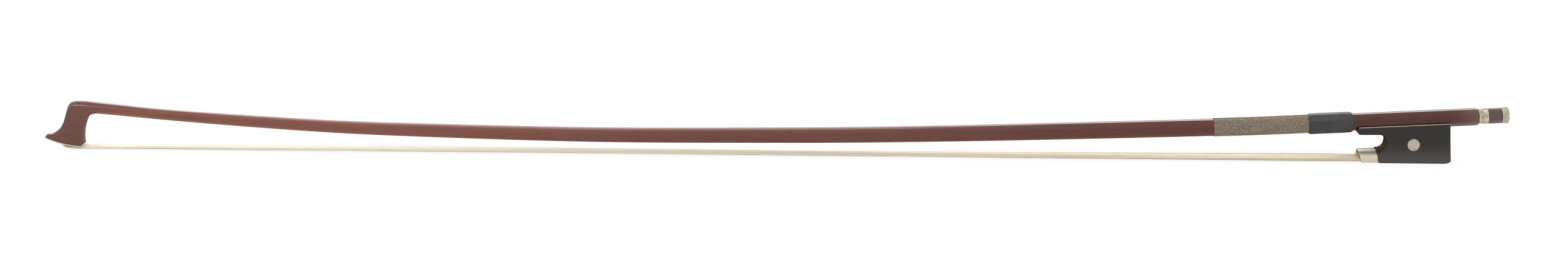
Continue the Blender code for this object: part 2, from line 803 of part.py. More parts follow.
def sole_strip(start, thickness, nose):
    """A thin strip under the head, between two depths below the seat. nose lengthens its tip."""
    curve = seat_curve()
    tip, tip_normal, tip_half = curve[0]
    ahead = (curve[0][0] - curve[1][0]).normalized()
    stations = [(tip + ahead * (NOSE_LENGTH + nose), tip_normal, tip_half / 2)] + curve
    shape = bmesh.new()
    rows = []
    for point, normal, half_width in stations:
        corners = []
        for depth, side in ((start, -1), (start, 1), (start + thickness, 1), (start + thickness, -1)):
            place = point + normal * depth
            corners.append(shape.verts.new((place.x, side * half_width, place.z)))
        rows.append(corners)
    for first, second in zip(rows, rows[1:]):
        for i in range(4):
            j = (i + 1) % 4
            shape.faces.new((first[i], first[j], second[j], second[i]))
    shape.faces.new(list(reversed(rows[0])))
    shape.faces.new(rows[-1])
    return shape


def make_head_parts():
    """Lining, face plate, plug and knot of the head."""
    lining = new_object("head_lining", sole_strip(SEAT_GAP, LINING, 0.0))
    plate_start = SEAT_GAP * 2 + LINING
    plate = new_object("head_plate", sole_strip(plate_start, PLATE, PLATE_NOSE))
    opening = new_object("cut_plate_opening", head_pocket(SEAT_GAP))
    cut(lining, (opening,))
    cut(plate, (opening,))
    low, high = HEAD_PLUG_HEIGHTS
    rear = HEAD_POCKET[1] - PLUG_GAP
    low_front = low + HEAD_PLUG_RISE
    outline = (
        (HEAD_PLUG_FRONT, low_front + HEAD_PLUG_CORNER),
        (HEAD_PLUG_FRONT + HEAD_PLUG_CORNER, low_front),
        (rear, low),
        (rear, high),
        (HEAD_PLUG_FRONT, high),
    )
    new_object("head_plug", extrude_outline(outline, HEAD_PLUG_HALF_WIDTH))
    (x, z), _, _ = HAIR_PATH[0]
    start = Vector((x * MM, 0.0, z * MM + SEAT_GAP))
    new_object("head_knot", knot(start, *HEAD_KNOT))


def knot(start, half_width, height):
    """The bound end of the hair: a flattened bead with a waist where the thread ties it."""
    profile = ((0.0, 0.75), (0.25, 0.62), (0.45, 0.62), (0.70, 1.0), (1.0, 0.8))
    rings = []
    for share, fullness in profile:
        ring = []
        for i in range(12):
            angle = 2 * pi * i / 12
            x = KNOT_HALF_THICKNESS * fullness * cos(angle)
            y = half_width * fullness * sin(angle)
            ring.append(start + Vector((x, y, height * share)))
        rings.append(ring)
    shape, _ = loft(rings)
    return shape


def smooth_path(points, subdivisions):
    """A smooth curve through rows of numbers, with more rows along its long runs."""
    rows = []
    for i in range(len(points) - 1):
        before = points[max(i - 1, 0)]
        here = points[i]
        after = points[i + 1]
        beyond = points[min(i + 2, len(points) - 1)]
        run = hypot(after[0] - here[0], after[1] - here[1])
        steps = subdivisions if run > HAIR_LONG_RUN else 1
        for k in range(steps):
            t = k / steps
            row = []
            for a, b, c, d in zip(before, here, after, beyond):
                turn = 2 * b + (c - a) * t + (2 * a - 5 * b + 4 * c - d) * t * t
                row.append(0.5 * (turn + (3 * b - a - 3 * c + d) * t**3))
            rows.append(row)
    rows.append(list(points[-1]))
    return rows


def make_hair():
    """The ribbon: from the head's pocket, under the plate, along the bow, and up into the frog's pocket."""
    points = [(*place, half_width, thickness) for place, half_width, thickness in HAIR_PATH]
    rows = smooth_path(points, 2)
    rings = []
    for i, (x, z, half_width, thickness) in enumerate(rows):
        before = rows[max(i - 1, 0)]
        after = rows[min(i + 1, len(rows) - 1)]
        run = Vector((after[0] - before[0], 0.0, after[1] - before[1])).normalized()
        normal = Vector((-run.z, 0.0, run.x))
        ring = []
        for k in range(HAIR_SECTION_POINTS):
            angle = 2 * pi * k / HAIR_SECTION_POINTS
            side = 1 if sin(angle) >= 0 else -1
            lift = side * thickness / 2 * abs(sin(angle)) ** HAIR_FULLNESS
            place = Vector((x, 0.0, z)) + normal * lift
            ring.append(Vector((place.x, half_width * cos(angle), place.z)) * MM)
        rings.append(ring)
    shape, _ = loft(rings)
    new_object("hair_ribbon", shape)


def wrap_angles():
    """Sixteen angles round the handle: each corner of the octagon is turned in two steps."""
    angles = []
    for k in range(8):
        for off in (-LAPPING_CORNER, LAPPING_CORNER):
            angles.append(45 * k + off)
    return angles


def wrap_point(x, degrees, flats):
    """A point of something wound round the stick, at a place along the bow and an angle round it."""
    height, slope = stick_middle(x)
    angle = radians(degrees)
    radius = octagon_radius(degrees, flats)
    length = hypot(1.0, slope)
    up = Vector((-slope / length, 0.0, 1.0 / length))
    return Vector((x, 0.0, height)) + up * radius * cos(angle) + Vector((0, radius * sin(angle), 0))


def wrap_ring(x, offset):
    flats = along(TAPER, x) + 2 * offset
    return [wrap_point(x, degrees, flats) for degrees in wrap_angles()]


def make_lapping():
    """The winding: a thin sleeve of close turns, and an outer thread wound over it in one unbroken run."""
    length = LAPPING_REAR - LAPPING_FRONT
    places = [LAPPING_FRONT + length * i / LAPPING_RINGS for i in range(LAPPING_RINGS + 1)]
    inner = [wrap_ring(x, SEAT_GAP) for x in places]
    outer = [wrap_ring(x, SEAT_GAP + LAPPING_CORE) for x in places]
    new_object("lapping_core", tube(outer, inner))

    offset = LAPPING_THREAD_LIFT + LAPPING_CORE + LAPPING_THREAD_RADIUS
    margin = LAPPING_THREAD_RADIUS * 1.5
    first = LAPPING_FRONT + margin
    run = length - 2 * margin
    angles = wrap_angles()
    points = []
    for i in range(LAPPING_TURNS * LAPPING_POINTS_PER_TURN + 1):
        turns, corner = divmod(i, LAPPING_POINTS_PER_TURN)
        degrees = angles[corner] + 360 * turns
        x = first + run * (degrees - angles[0]) / (360 * LAPPING_TURNS)
        points.append(wrap_point(x, degrees, along(TAPER, x) + 2 * offset))
    least = least_gap(points, LAPPING_POINTS_PER_TURN, LAPPING_THREAD_RADIUS)
    print(f"winding: {LAPPING_TURNS} turns, least gap to itself {least / MM:.2f} mm")
    assert least > LAPPING_LEAST_GAP

    curve = bpy.data.curves.new("lapping", "CURVE")
    curve.dimensions = "3D"
    curve.bevel_depth = LAPPING_THREAD_RADIUS
    curve.bevel_resolution = 1
    curve.use_fill_caps = True
    spline = curve.splines.new("POLY")
    spline.points.add(len(points) - 1)
    for point, place in zip(spline.points, points):
        point.co = (*place, 1.0)
    curve.materials.append(finish_of("lapping"))
    bpy.context.collection.objects.link(bpy.data.objects.new("lapping", curve))


def make_leather():
    """The thumb leather: one wrap of hide, pared thin at its front edge and rounded down at its rear."""
    front = LAPPING_REAR + LEATHER_GAP
    profile = [(front + place * MM, share) for place, share in LEATHER_FRONT_EDGE]
    profile.append((LEATHER_REAR - LEATHER_END_LENGTH, 1.0))
    for degrees in (30, 55, 75):
        angle = radians(degrees)
        x = LEATHER_REAR - LEATHER_END_LENGTH * (1 - sin(angle))
        profile.append((x, cos(angle)))
    outer = [wrap_ring(x, SEAT_GAP + LEATHER_THICKNESS * share) for x, share in profile]
    inner = [wrap_ring(x, SEAT_GAP) for x, share in profile]
    new_object("thumb_leather", tube(outer, inner))


def least_gap(points, per_turn, radius):
    """Smallest clear space between one turn and the next, measured point to segment."""
    least = None
    for i in range(len(points) - per_turn - 1):
        for j in (i + per_turn - 1, i + per_turn):
            start = points[j]
            line = points[min(j + 1, len(points) - 1)] - start
            share = 0.0
            if line.length_squared:
                share = min(max((points[i] - start).dot(line) / line.length_squared, 0.0), 1.0)
            gap = (points[i] - start - line * share).length - 2 * radius
            least = gap if least is None else min(least, gap)
    return least


def sole_v(u):
    """How far the sole lies from the handle's axis. The sole is level, so this grows towards the button."""
    return -(BUTT_HEIGHT + u * sin(HANDLE_ANGLE)) / cos(HANDLE_ANGLE)


def frog_half_width(u, v):
    """Half the frog's width at a point of its cheek."""
    share = (CHEEK_TOP - v) / (CHEEK_TOP - sole_v(u))
    return curve_value(CHEEK_PROFILE, share) * MM


def frog_block():
    """A block with the frog's two hollow cheeks, longer than the frog at both ends."""
    ends = (FROG_FRONT - PAST_FACE, FROG_REAR + PAST_FACE)
    rings = []
    for u in ends:
        heights = [CHEEK_TOP + share * (sole_v(u) - CHEEK_TOP) for share, _ in CHEEK_PROFILE]
        right = [Vector((u, half * MM, v)) for v, (_, half) in zip(heights, CHEEK_PROFILE)]
        left = [Vector((point.x, -point.y, point.z)) for point in reversed(right)]
        rings.append(right + left)
    shape, _ = loft(rings)
    return shape


def lip_point():
    """The lip of the throat, just above the ferrule's rear edge, in the handle's directions."""
    top_x, top_z = FERRULE_REAR_TOP
    lean = (FERRULE_REAR_BOTTOM - top_x) / (top_z - FERRULE_BOTTOM)
    return to_handle(top_x + FERRULE_SEAT_GAP - lean * LIP_ABOVE_FERRULE, top_z + LIP_ABOVE_FERRULE)


def throat_line():
    """The line of thumb projection and throat, from the lip to the frog's front face."""
    line = [lip_point()] + arc(THROAT_CENTRE, THROAT_RADIUS, -90, 90, THROAT_STEPS)
    line.append((FROG_FRONT + THUMB_EDGE_START, THUMB_EDGE_V))
    corner = (FROG_FRONT + FROG_FRONT_RADIUS, THUMB_EDGE_V + FROG_FRONT_RADIUS)
    return line + arc(corner, FROG_FRONT_RADIUS, -105, -180, 6)


def frog_outline():
    """The frog's side outline in the handle's directions, without the tongue in the ferrule."""
    heel_long, heel_high = HEEL_CHAMFER
    along_chamfer, up_chamfer = HEEL_CHAMFER_MIDDLE
    rear_bottom_x = handle_point(FROG_REAR, sole_v(FROG_REAR)).x
    outline = [
        (FROG_FRONT + FROG_FRONT_EASING, CHEEK_TOP),
        (FROG_REAR, CHEEK_TOP),
        to_handle(rear_bottom_x, heel_high),
        to_handle(rear_bottom_x - heel_long * along_chamfer, heel_high * up_chamfer),
        to_handle(rear_bottom_x - heel_long, 0.0),
        to_handle(FERRULE_REAR_BOTTOM + FERRULE_SEAT_GAP, 0.0),
    ]
    return list(reversed(outline + throat_line()))


def throat_rounding():
    """A cutter that rounds the two edges of the throat line: a little along the thumb projection, and
    more and more towards the lip, until the ebony has the ferrule's round top."""
    line = [Vector(point) for point in throat_line()]
    first = line[0] + (line[0] - line[1]).normalized() * PAST_FACE
    top = Vector((FROG_FRONT + FROG_FRONT_EASING, CHEEK_TOP))
    last = top + (top - line[-1]).normalized() * PAST_FACE
    line = [first] + line + [top, last]
    centre = Vector(THROAT_CENTRE)
    grows_from, grows_to = ROUNDING_GROWS
    rings = []
    for i, place in enumerate(line):
        run = line[min(i + 1, len(line) - 1)] - line[max(i - 1, 0)]
        inward = Vector((run.y, -run.x)).normalized()
        share = 0.0
        if i <= THROAT_STEPS + 2:
            angle = atan2(place.y - centre.y, place.x - centre.x)
            share = min(max((angle - grows_from) / (grows_to - grows_from), 0.0), 1.0)
        share = share * share * (3 - 2 * share)
        width, depth = [a + (b - a) * share for a, b in zip(THUMB_ROUNDING, LIP_ROUNDING)]
        edge = place + inward * depth
        half = frog_half_width(edge.x, edge.y) - width
        points = [(half - width * ROUNDING_START[0], -depth * ROUNDING_START[1])]
        for turn in ROUNDING_TURNS:
            across = sin(turn) ** (2 / FERRULE_FULLNESS)
            down = cos(turn) ** (2 / FERRULE_FULLNESS)
            points.append((half + width * across, depth * (1 - down)))
        points.append((half + width * ROUNDING_END[0], depth * ROUNDING_END[1]))
        points.append((PAST_CHEEK, depth * ROUNDING_END[1]))
        points.append((PAST_CHEEK, -THROAT_RADIUS / 2))
        ring = []
        for side in (-1, 1):
            row = points if side < 0 else reversed(points)
            for y, off in row:
                spot = place + inward * off
                ring.append(Vector((spot.x, side * y, spot.y)))
        rings.append(ring)
    shape, _ = loft(rings)
    return shape


def d_ring(bottom_x, top_x, top_z, inset):
    """A D-shaped section of the ferrule: flat below, round above. The section may lean."""
    half = FERRULE_HALF_WIDTH - inset
    low = FERRULE_BOTTOM + inset
    rise = top_z - inset - FERRULE_SHOULDER
    corner = max(FERRULE_CORNER - inset, FERRULE_LEAST_CORNER)
    points = arc((half - corner, low + corner), corner, -90, 0, 4)
    for i in range(FERRULE_TOP_STEPS + 1):
        angle = pi * i / FERRULE_TOP_STEPS
        across = abs(cos(angle)) ** (2 / FERRULE_FULLNESS)
        up = sin(angle) ** (2 / FERRULE_FULLNESS)
        points.append((half * (across if angle < pi / 2 else -across), FERRULE_SHOULDER + rise * up))
    points += arc((-half + corner, low + corner), corner, 180, 270, 4)
    lean = (top_x - bottom_x) / (top_z - FERRULE_BOTTOM)
    return [Vector((bottom_x + lean * (z - FERRULE_BOTTOM), y, z)) for y, z in points]


def in_frame(guide, world_shape):
    """Moves a shape made in the bow's frame into the frame of the guide that will carry it."""
    world_shape.transform(guide.matrix_world.inverted())
    return world_shape


def octagon_prism(flats, u_start, u_end):
    """An octagonal bar along the handle's axis, in the handle's own directions."""
    rings = []
    for u in (u_start, u_end):
        ring = []
        for k in range(8):
            degrees = 22.5 + 45 * k
            radius = octagon_radius(degrees, flats)
            angle = radians(degrees)
            ring.append(Vector((u, radius * sin(angle), radius * cos(angle))))
        rings.append(ring)
    shape, _ = loft(rings)
    return shape


def dovetail(x_start, x_end, half_width, low, high, flare_low, flare_high):
    """A strip along X whose sides lean outwards as they rise."""
    rings = []
    for x in (x_start, x_end):
        rings.append(
            [
                Vector((x, -half_width - flare_low, low)),
                Vector((x, half_width + flare_low, low)),
                Vector((x, half_width + flare_high, high)),
                Vector((x, -half_width - flare_high, high)),
            ]
        )
    shape, _ = loft(rings)
    return shape


def make_frog(guide):
    """The ebony frog: a block with hollow cheeks, sawn to its side outline, its edges eased, joined to its
    tongue, then cut for what it carries."""
    frog = new_object("frog", frog_block(), guide)
    outline = new_object("keep_outline", extrude_outline(frog_outline(), PAST_CHEEK), guide)
    cut(frog, (outline,), "INTERSECT")
    rounding = frog.modifiers.new("soft edges", "BEVEL")
    rounding.width = FROG_ROUNDING
    rounding.segments = 2
    rounding.limit_method = "ANGLE"
    rounding.angle_limit = radians(50)
    rounding.use_clamp_overlap = False

    inset = FERRULE_WALL + SEAT_GAP
    rear = FERRULE_REAR_BOTTOM + PAST_FACE
    rear_top = FERRULE_REAR_TOP[0] + PAST_FACE
    front_top = TONGUE_FRONT - FERRULE_FRONT_BOTTOM + FERRULE_FRONT_TOP[0]
    tongue_rings = [
        d_ring(TONGUE_FRONT, front_top, FERRULE_FRONT_TOP[1], inset),
        d_ring(rear, rear_top, FERRULE_REAR_TOP[1], inset),
    ]
    tongue_shape, _ = loft(tongue_rings)
    tongue = new_object("join_tongue", in_frame(guide, tongue_shape), guide)
    cut(frog, (tongue,), "UNION")

    liner_outer = HANDLE_FLATS + 2 * (RUN_GAP / 3 + LINER_THICKNESS + SEAT_GAP)
    channel = octagon_prism(liner_outer, FROG_FRONT - PAST_FACE, FROG_REAR + PAST_FACE)
    lean = (FERRULE_REAR_TOP[0] - FERRULE_REAR_BOTTOM) / (FERRULE_REAR_TOP[1] - FERRULE_BOTTOM)
    low = -PAST_FACE
    front = FERRULE_FRONT_TOP[0] - PAST_FACE
    under_tongue = (
        (front, low),
        (FERRULE_REAR_BOTTOM + lean * (low - FERRULE_BOTTOM), low),
        (FERRULE_REAR_BOTTOM + lean * (TONGUE_BOTTOM - FERRULE_BOTTOM), TONGUE_BOTTOM),
        (front, TONGUE_BOTTOM),
    )
    hair_way = in_frame(
        guide,
        box(
            (FERRULE_REAR_BOTTOM - PAST_SEAT, -CHANNEL_HALF_WIDTH, -PAST_SEAT),
            (FROG_POCKET[1], CHANNEL_HALF_WIDTH, CHANNEL_TOP),
        ),
    )
    funnel = in_frame(
        guide,
        box(
            (FERRULE_REAR_BOTTOM - PAST_SEAT, -FUNNEL_HALF_WIDTH, SLIDE_DEPTH - SEAT_GAP),
            (FUNNEL_END, FUNNEL_HALF_WIDTH, FUNNEL_TOP),
        ),
    )
    slide_bed = in_frame(
        guide,
        dovetail(
            FERRULE_REAR_BOTTOM - PAST_SEAT,
            SLIDE_REAR + FERRULE_SEAT_GAP,
            SLIDE_HALF_WIDTH + SLIDE_SIDE_GAP,
            SLIDE_BED_START,
            SLIDE_DEPTH,
            SLIDE_BED_START / SLIDE_DEPTH * SLIDE_FLARE,
            SLIDE_FLARE,
        ),
    )
    pocket = in_frame(
        guide,
        box(
            (FROG_POCKET[0], -FROG_POCKET_HALF_WIDTH, PAST_SEAT),
            (FROG_POCKET[1], FROG_POCKET_HALF_WIDTH, FROG_POCKET_TOP),
        ),
    )
    eyelet_hole = rod(
        (EYELET_U, 0.0, 0.0), (EYELET_U, 0.0, EYELET_STEM_END - RUN_GAP), EYELET_STEM_RADIUS + RUN_GAP
    )
    cutters = []
    shapes = {
        "cut_channel": channel,
        "cut_under_tongue": in_frame(guide, extrude_outline(under_tongue, PAST_CHEEK)),
        "cut_hair_way": hair_way,
        "cut_funnel": funnel,
        "cut_slide_bed": slide_bed,
        "cut_frog_pocket": pocket,
        "cut_eyelet_hole": eyelet_hole,
    }
    for name, shape in shapes.items():
        cutters.append(new_object(name, shape, guide))
    for side, name in ((-1, "front"), (1, "back")):
        cutters.append(new_object(f"cut_eye_{name}", eye_disc(side, SEAT_GAP), guide))
    for name, u in liner_pin_places():
        hole = rod((u, 0.0, 0.0), (u, 0.0, pin_end() - SEAT_GAP), LINER_PIN_RADIUS + SEAT_GAP, 12)
        cutters.append(new_object(f"cut_{name}", hole, guide))
    throat_edges = new_object("cut_throat_edges", throat_rounding(), guide)
    cut(frog, cutters + [throat_edges])
    throat_edges.data.shade_smooth()


def eye_disc(side, grow):
    """One pearl disc, lying flush in the cheek's slope. grow makes the recess that holds it."""
    u, v = EYE_CENTRE
    face = frog_half_width(u, v)
    tilt = (frog_half_width(u, v - EYE_RADIUS) - frog_half_width(u, v + EYE_RADIUS)) / (2 * EYE_RADIUS)
    outward = Vector((0.0, side, tilt)).normalized()
    surface = Vector((u, side * face, v))
    outer = surface + outward * (PAST_SEAT if grow else -EYE_SINK)
    inner = surface - outward * (EYE_THICKNESS + grow)
    return rod(inner, outer, EYE_RADIUS + grow, 32)


def liner_pin_places():
    return (
        ("liner_pin_front", LINER_FRONT + LINER_PIN_FROM_END),
        ("liner_pin_rear", LINER_REAR - LINER_PIN_FROM_END),
    )


def liner_depths():
    """How far the underslide's inner and outer faces lie from the handle's axis."""
    inner = HANDLE_FLATS / 2 + RUN_GAP / 3
    return inner, inner + LINER_THICKNESS


def pin_end():
    """How far from the axis the underslide's pins end, in the ebony."""
    return -liner_depths()[1] - LINER_PIN_LENGTH


def make_liner(guide):
    """The underslide: three flat facets and a narrow ledge each side, bent from one strip, and its pins."""
    inner, outer = liner_depths()
    across = tan(radians(22.5))
    edge = LINER_EDGE_V
    lower_edge = edge - LINER_THICKNESS
    diagonal_inner = inner * (1 + across)
    diagonal_outer = outer * (1 + across)
    half = [
        (inner * across, -inner),
        (diagonal_inner + edge, edge),
        (LINER_EDGE_HALF_WIDTH, edge),
        (LINER_EDGE_HALF_WIDTH, lower_edge),
        (diagonal_outer + lower_edge, lower_edge),
        (outer * across, -outer),
    ]
    profile = half + [(-y, v) for y, v in reversed(half)]
    rings = [[Vector((u, y, v)) for y, v in profile] for u in (LINER_FRONT, LINER_REAR)]
    shape, _ = loft(rings)
    liner = new_object("frog_liner", shape, guide, smooth=20)
    way = EYELET_STEM_RADIUS + RUN_GAP
    opening = box((EYELET_U - way, -way, -LINER_CUT_DEPTH), (EYELET_U + way, way, 0.0))
    cutters = [new_object("cut_liner_opening", opening, guide)]
    for name, u in liner_pin_places():
        hole = rod((u, 0.0, 0.0), (u, 0.0, -LINER_CUT_DEPTH), LINER_PIN_RADIUS + SEAT_GAP, 12)
        cutters.append(new_object(f"cut_liner_{name}", hole, guide))
        pin = rod((u, 0.0, -inner - SEAT_GAP), (u, 0.0, pin_end()), LINER_PIN_RADIUS, 12)
        new_object(name, pin, guide)
    cut(liner, cutters)


def make_ferrule(guide):
    """The ferrule, and the wedge that spreads the hair in its mouth."""
    ends = (
        (FERRULE_FRONT_BOTTOM, *FERRULE_FRONT_TOP),
        (FERRULE_REAR_BOTTOM, *FERRULE_REAR_TOP),
    )
    outer_rings = [d_ring(bottom, top, high, 0.0) for bottom, top, high in ends]
    inner_rings = [d_ring(bottom, top, high, FERRULE_WALL) for bottom, top, high in ends]
    new_object("ferrule", in_frame(guide, tube(outer_rings, inner_rings)), guide)

    front, rear = WEDGE_X
    low, high = WEDGE_HEIGHTS
    outline = [(front + x * MM, low + z * MM) for x, z in WEDGE_LOWER_EDGE]
    outline += [(rear, low), (rear, high)]
    outline += [(front + x * MM, high + z * MM) for x, z in WEDGE_UPPER_EDGE]
    wedge = extrude_outline(outline, WEDGE_HALF_WIDTH)
    new_object("spread_wedge", in_frame(guide, wedge), guide)


def make_slide(guide):
    """The pearl slide on its ebony backing: two layers of one dovetail."""
    slide_front = FERRULE_REAR_BOTTOM + FERRULE_SEAT_GAP
    pearl_top = PEARL_THICKNESS
    flare = SLIDE_FLARE / SLIDE_DEPTH
    bottom = SLIDE_LIFT
    pearl = dovetail(
        slide_front, SLIDE_REAR, SLIDE_HALF_WIDTH, bottom, pearl_top, bottom * flare, pearl_top * flare
    )
    new_object("pearl_slide", in_frame(guide, pearl), guide)
    backing_low = PEARL_THICKNESS + SEAT_GAP
    backing_high = SLIDE_DEPTH - SEAT_GAP
    backing = dovetail(
        slide_front,
        SLIDE_REAR,
        SLIDE_HALF_WIDTH,
        backing_low,
        backing_high,
        backing_low * flare,
        backing_high * flare,
    )
    new_object("slide_backing", in_frame(guide, backing), guide)


def make_frog_plug(guide):
    """The plug that locks the hair's knot in the frog's pocket, and the knot."""
    front = FROG_POCKET[0] + PLUG_GAP
    high = FROG_POCKET_TOP - RUN_GAP
    low = FROG_PLUG_BOTTOM
    outline = (
        (front, low),
        (FROG_PLUG_REAR - FROG_PLUG_CORNER, low),
        (FROG_PLUG_REAR, low + FROG_PLUG_CORNER),
        (FROG_PLUG_REAR, high),
        (front, high),
    )
    plug = extrude_outline(outline, FROG_POCKET_HALF_WIDTH - PLUG_GAP)
    new_object("frog_plug", in_frame(guide, plug), guide)
    (x, z), _, _ = HAIR_PATH[-1]
    start = Vector((x * MM - FROG_KNOT_BACK, 0.0, z * MM + SEAT_GAP))
    new_object("frog_knot", in_frame(guide, knot(start, *FROG_KNOT)), guide)


def make_eyes(guide):
    for side, name in ((-1, "front"), (1, "back")):
        new_object(f"eye_{name}", eye_disc(side, 0.0), guide)


def make_eyelet(guide):
    """A flat-sided eye on a round stem. The eye rides in the stick's slot, the stem sits in the frog."""
    outline = [(EYELET_U - EYELET_HALF_LENGTH, -EYELET_TOP), (EYELET_U + EYELET_HALF_LENGTH, -EYELET_TOP)]
    outline += arc((EYELET_U, 0.0), EYELET_TOP, 0, 180, 14)
    eyelet = new_object("eyelet", extrude_outline(outline, EYELET_HALF_WIDTH), guide)
    stem_start = (EYELET_U, 0.0, -EYELET_TOP + EYELET_STEM_JOIN)
    stem = rod(stem_start, (EYELET_U, 0.0, EYELET_STEM_END), EYELET_STEM_RADIUS, 16)
    cut(eyelet, (new_object("join_stem", stem, guide),), "UNION")
    length = EYELET_HALF_LENGTH + PAST_SEAT
    hole = rod((EYELET_U - length, 0, 0), (EYELET_U + length, 0, 0), EYELET_HOLE_RADIUS)
    cut(eyelet, (new_object("cut_eyelet_thread", hole, guide),))


def make_screw(guide):
    """The steel screw and the button that turns it, in the handle's own directions."""
    rings = []
    point_length, point_radius = SCREW_POINT
    for u, radius in (
        (SCREW_TIP, point_radius),
        (SCREW_TIP + point_length, SCREW_RADIUS),
        (BUTTON_LENGTH - SCREW_IN_CAP, SCREW_RADIUS),
    ):
        ring = []
        for i in range(24):
            angle = 2 * pi * i / 24
            ring.append(Vector((u, radius * sin(angle), radius * cos(angle))))
        rings.append(ring)
    shape, _ = loft(rings)
    new_object("screw", shape, guide)

    core_start = COLLAR_END + SEAT_GAP
    core_end = CORE_END - SEAT_GAP
    edge_radius = CORE_FLATS / 2 - CORE_EDGE
    core = button_section(
        (
            (TENON_START, TENON_RADIUS, False),
            (core_start, TENON_RADIUS, False),
            (core_start, edge_radius, True),
            (core_start + CORE_EDGE_LENGTH, CORE_FLATS / 2, True),
            (core_end - CORE_EDGE_LENGTH, CORE_FLATS / 2, True),
            (core_end, edge_radius, True),
            (core_end, TENON_RADIUS, False),
            (BUTTON_LENGTH - CAP_WALL - TENON_END_GAP, TENON_RADIUS, False),
        ),
        SCREW_RADIUS + CORE_BORE_GAP,
    )
    new_object("button_core", core, guide)

    collar_rows = [(BUTTON_START + u * MM, radius * MM, True) for u, radius in COLLAR_PROFILE]
    new_object("button_collar", button_section(collar_rows, RING_BORE_RADIUS), guide)

    cap_profile = [(CORE_END + u * MM, inset * MM) for u, inset in CAP_FRONT_PROFILE]
    cap_profile += [(BUTTON_LENGTH - u * MM, inset * MM) for u, inset in CAP_END_PROFILE]
    cap_shape, _ = loft([button_ring(u, CAP_FLATS / 2 - inset, True) for u, inset in cap_profile])
    cap = new_object("button_cap", cap_shape, guide)
    bore = rod((CORE_END - PAST_SEAT, 0, 0), (BUTTON_LENGTH - CAP_WALL, 0, 0), RING_BORE_RADIUS, 32)
    cut(cap, (new_object("cut_cap_bore", bore, guide),))


def button_ring(u, radius, octagonal):
    """Twenty-four points: an octagon with two points on each facet, or a circle."""
    ring = []
    for i in range(24):
        degrees = 15 * i + 7.5
        size = octagon_radius(degrees, 2 * radius) if octagonal else radius
        angle = radians(degrees)
        ring.append(Vector((u, size * sin(angle), size * cos(angle))))
    return ring


def button_section(rows, bore):
    """A turned ring with a bore: rows give place, radius, and whether the section is octagonal."""
    outer = [button_ring(u, radius, octagonal) for u, radius, octagonal in rows]
    inner = [button_ring(u, bore, False) for u in (rows[0][0], rows[-1][0])]
    return tube(outer, inner)


def main():
    clear_scene()
    turn = Matrix.Rotation(-HANDLE_ANGLE, 4, "Y")
    axis = Matrix.Translation((BUTT_X, 0.0, BUTT_HEIGHT)) @ turn
    slide_axis = empty("frog_slide_axis", axis)
    screw_axis = empty("screw_turn_axis", axis)
    bpy.context.view_layer.update()

    make_stick()
    make_head_parts()
    make_hair()
    make_lapping()
    make_leather()
    make_frog(slide_axis)
    make_liner(slide_axis)
    make_eyes(slide_axis)
    make_ferrule(slide_axis)
    make_slide(slide_axis)
    make_frog_plug(slide_axis)
    make_eyelet(slide_axis)
    make_screw(screw_axis)


main()
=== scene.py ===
import random
from math import ceil, cos, hypot, pi, radians, sin, sqrt, tan

import bpy
from mathutils import Matrix, Vector
from mathutils.bvhtree import BVHTree


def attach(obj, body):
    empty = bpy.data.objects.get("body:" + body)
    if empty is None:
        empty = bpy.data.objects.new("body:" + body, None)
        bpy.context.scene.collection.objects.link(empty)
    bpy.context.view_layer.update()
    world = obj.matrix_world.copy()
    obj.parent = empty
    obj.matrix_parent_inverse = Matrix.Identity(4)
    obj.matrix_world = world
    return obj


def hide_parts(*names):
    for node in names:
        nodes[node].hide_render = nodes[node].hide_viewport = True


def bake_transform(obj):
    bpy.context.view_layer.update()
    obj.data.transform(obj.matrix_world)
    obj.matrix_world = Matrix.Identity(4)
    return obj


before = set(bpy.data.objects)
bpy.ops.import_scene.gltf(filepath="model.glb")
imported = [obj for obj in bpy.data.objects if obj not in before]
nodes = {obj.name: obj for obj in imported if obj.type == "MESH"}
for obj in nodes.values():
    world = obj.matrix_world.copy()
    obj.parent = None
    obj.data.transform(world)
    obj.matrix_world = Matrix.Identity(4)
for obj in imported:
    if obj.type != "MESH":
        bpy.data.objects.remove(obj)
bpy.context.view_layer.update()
bpy.context.scene.view_settings.view_transform = "Standard"
MM = 0.001


# The stick is one length of pernambuco, planed to an octagon at the handle, rounded along the shaft and
# bent to its camber over heat. Its head is carved from the same piece. It is oiled and French polished,
# and the polish has worn thin in the middle of the shaft.

def feed(tree, target, value):
    """Links a node or one of its outputs to an input, or sets a plain value on it."""
    if isinstance(value, bpy.types.Node):
        value = value.outputs[0]
    if isinstance(value, bpy.types.NodeSocket):
        tree.links.new(value, target)
    elif target.type == "RGBA":
        target.default_value = (*value, 1.0)
    else:
        target.default_value = value


def add(tree, kind, *values, **named):
    """Adds a shader node. Plain values fill its inputs in order. Of the named ones, those with a
    capital are inputs, with _ for a space, and the others are the node's settings."""
    node = tree.nodes.new("ShaderNode" + kind)
    for name, value in named.items():
        if name[0].islower():
            setattr(node, name, value)
    for index, value in enumerate(values):
        feed(tree, node.inputs[index], value)
    for name, value in named.items():
        if name[0].isupper():
            feed(tree, node.inputs[name.replace("_", " ")], value)
    return node


def maths(tree, operation, *values, use_clamp=False):
    return add(tree, "Math", *values, operation=operation, use_clamp=use_clamp).outputs[0]


def between(tree, value, low, high, to_low=0.0, to_high=1.0):
    """Spreads a span of values over another, with soft ends."""
    node = add(tree, "MapRange", value, low, high, to_low, to_high, interpolation_type="SMOOTHSTEP")
    return node.outputs[0]


def tint(tree, share, first, second, blend_type="MIX"):
    """Goes from the first colour to the second."""
    node = add(tree, "Mix", data_type="RGBA", blend_type=blend_type)
    feed(tree, node.inputs[0], share)
    feed(tree, node.inputs[6], first)
    feed(tree, node.inputs[7], second)
    return node.outputs[2]


def duller(tree, mask, by, than):
    """A roughness that a mask raises."""
    return maths(tree, "MULTIPLY_ADD", mask, by, than)


def part_of(tree, vector, axis):
    """One of the three parts of a place, a direction or a colour."""
    return add(tree, "SeparateXYZ", vector).outputs[axis]


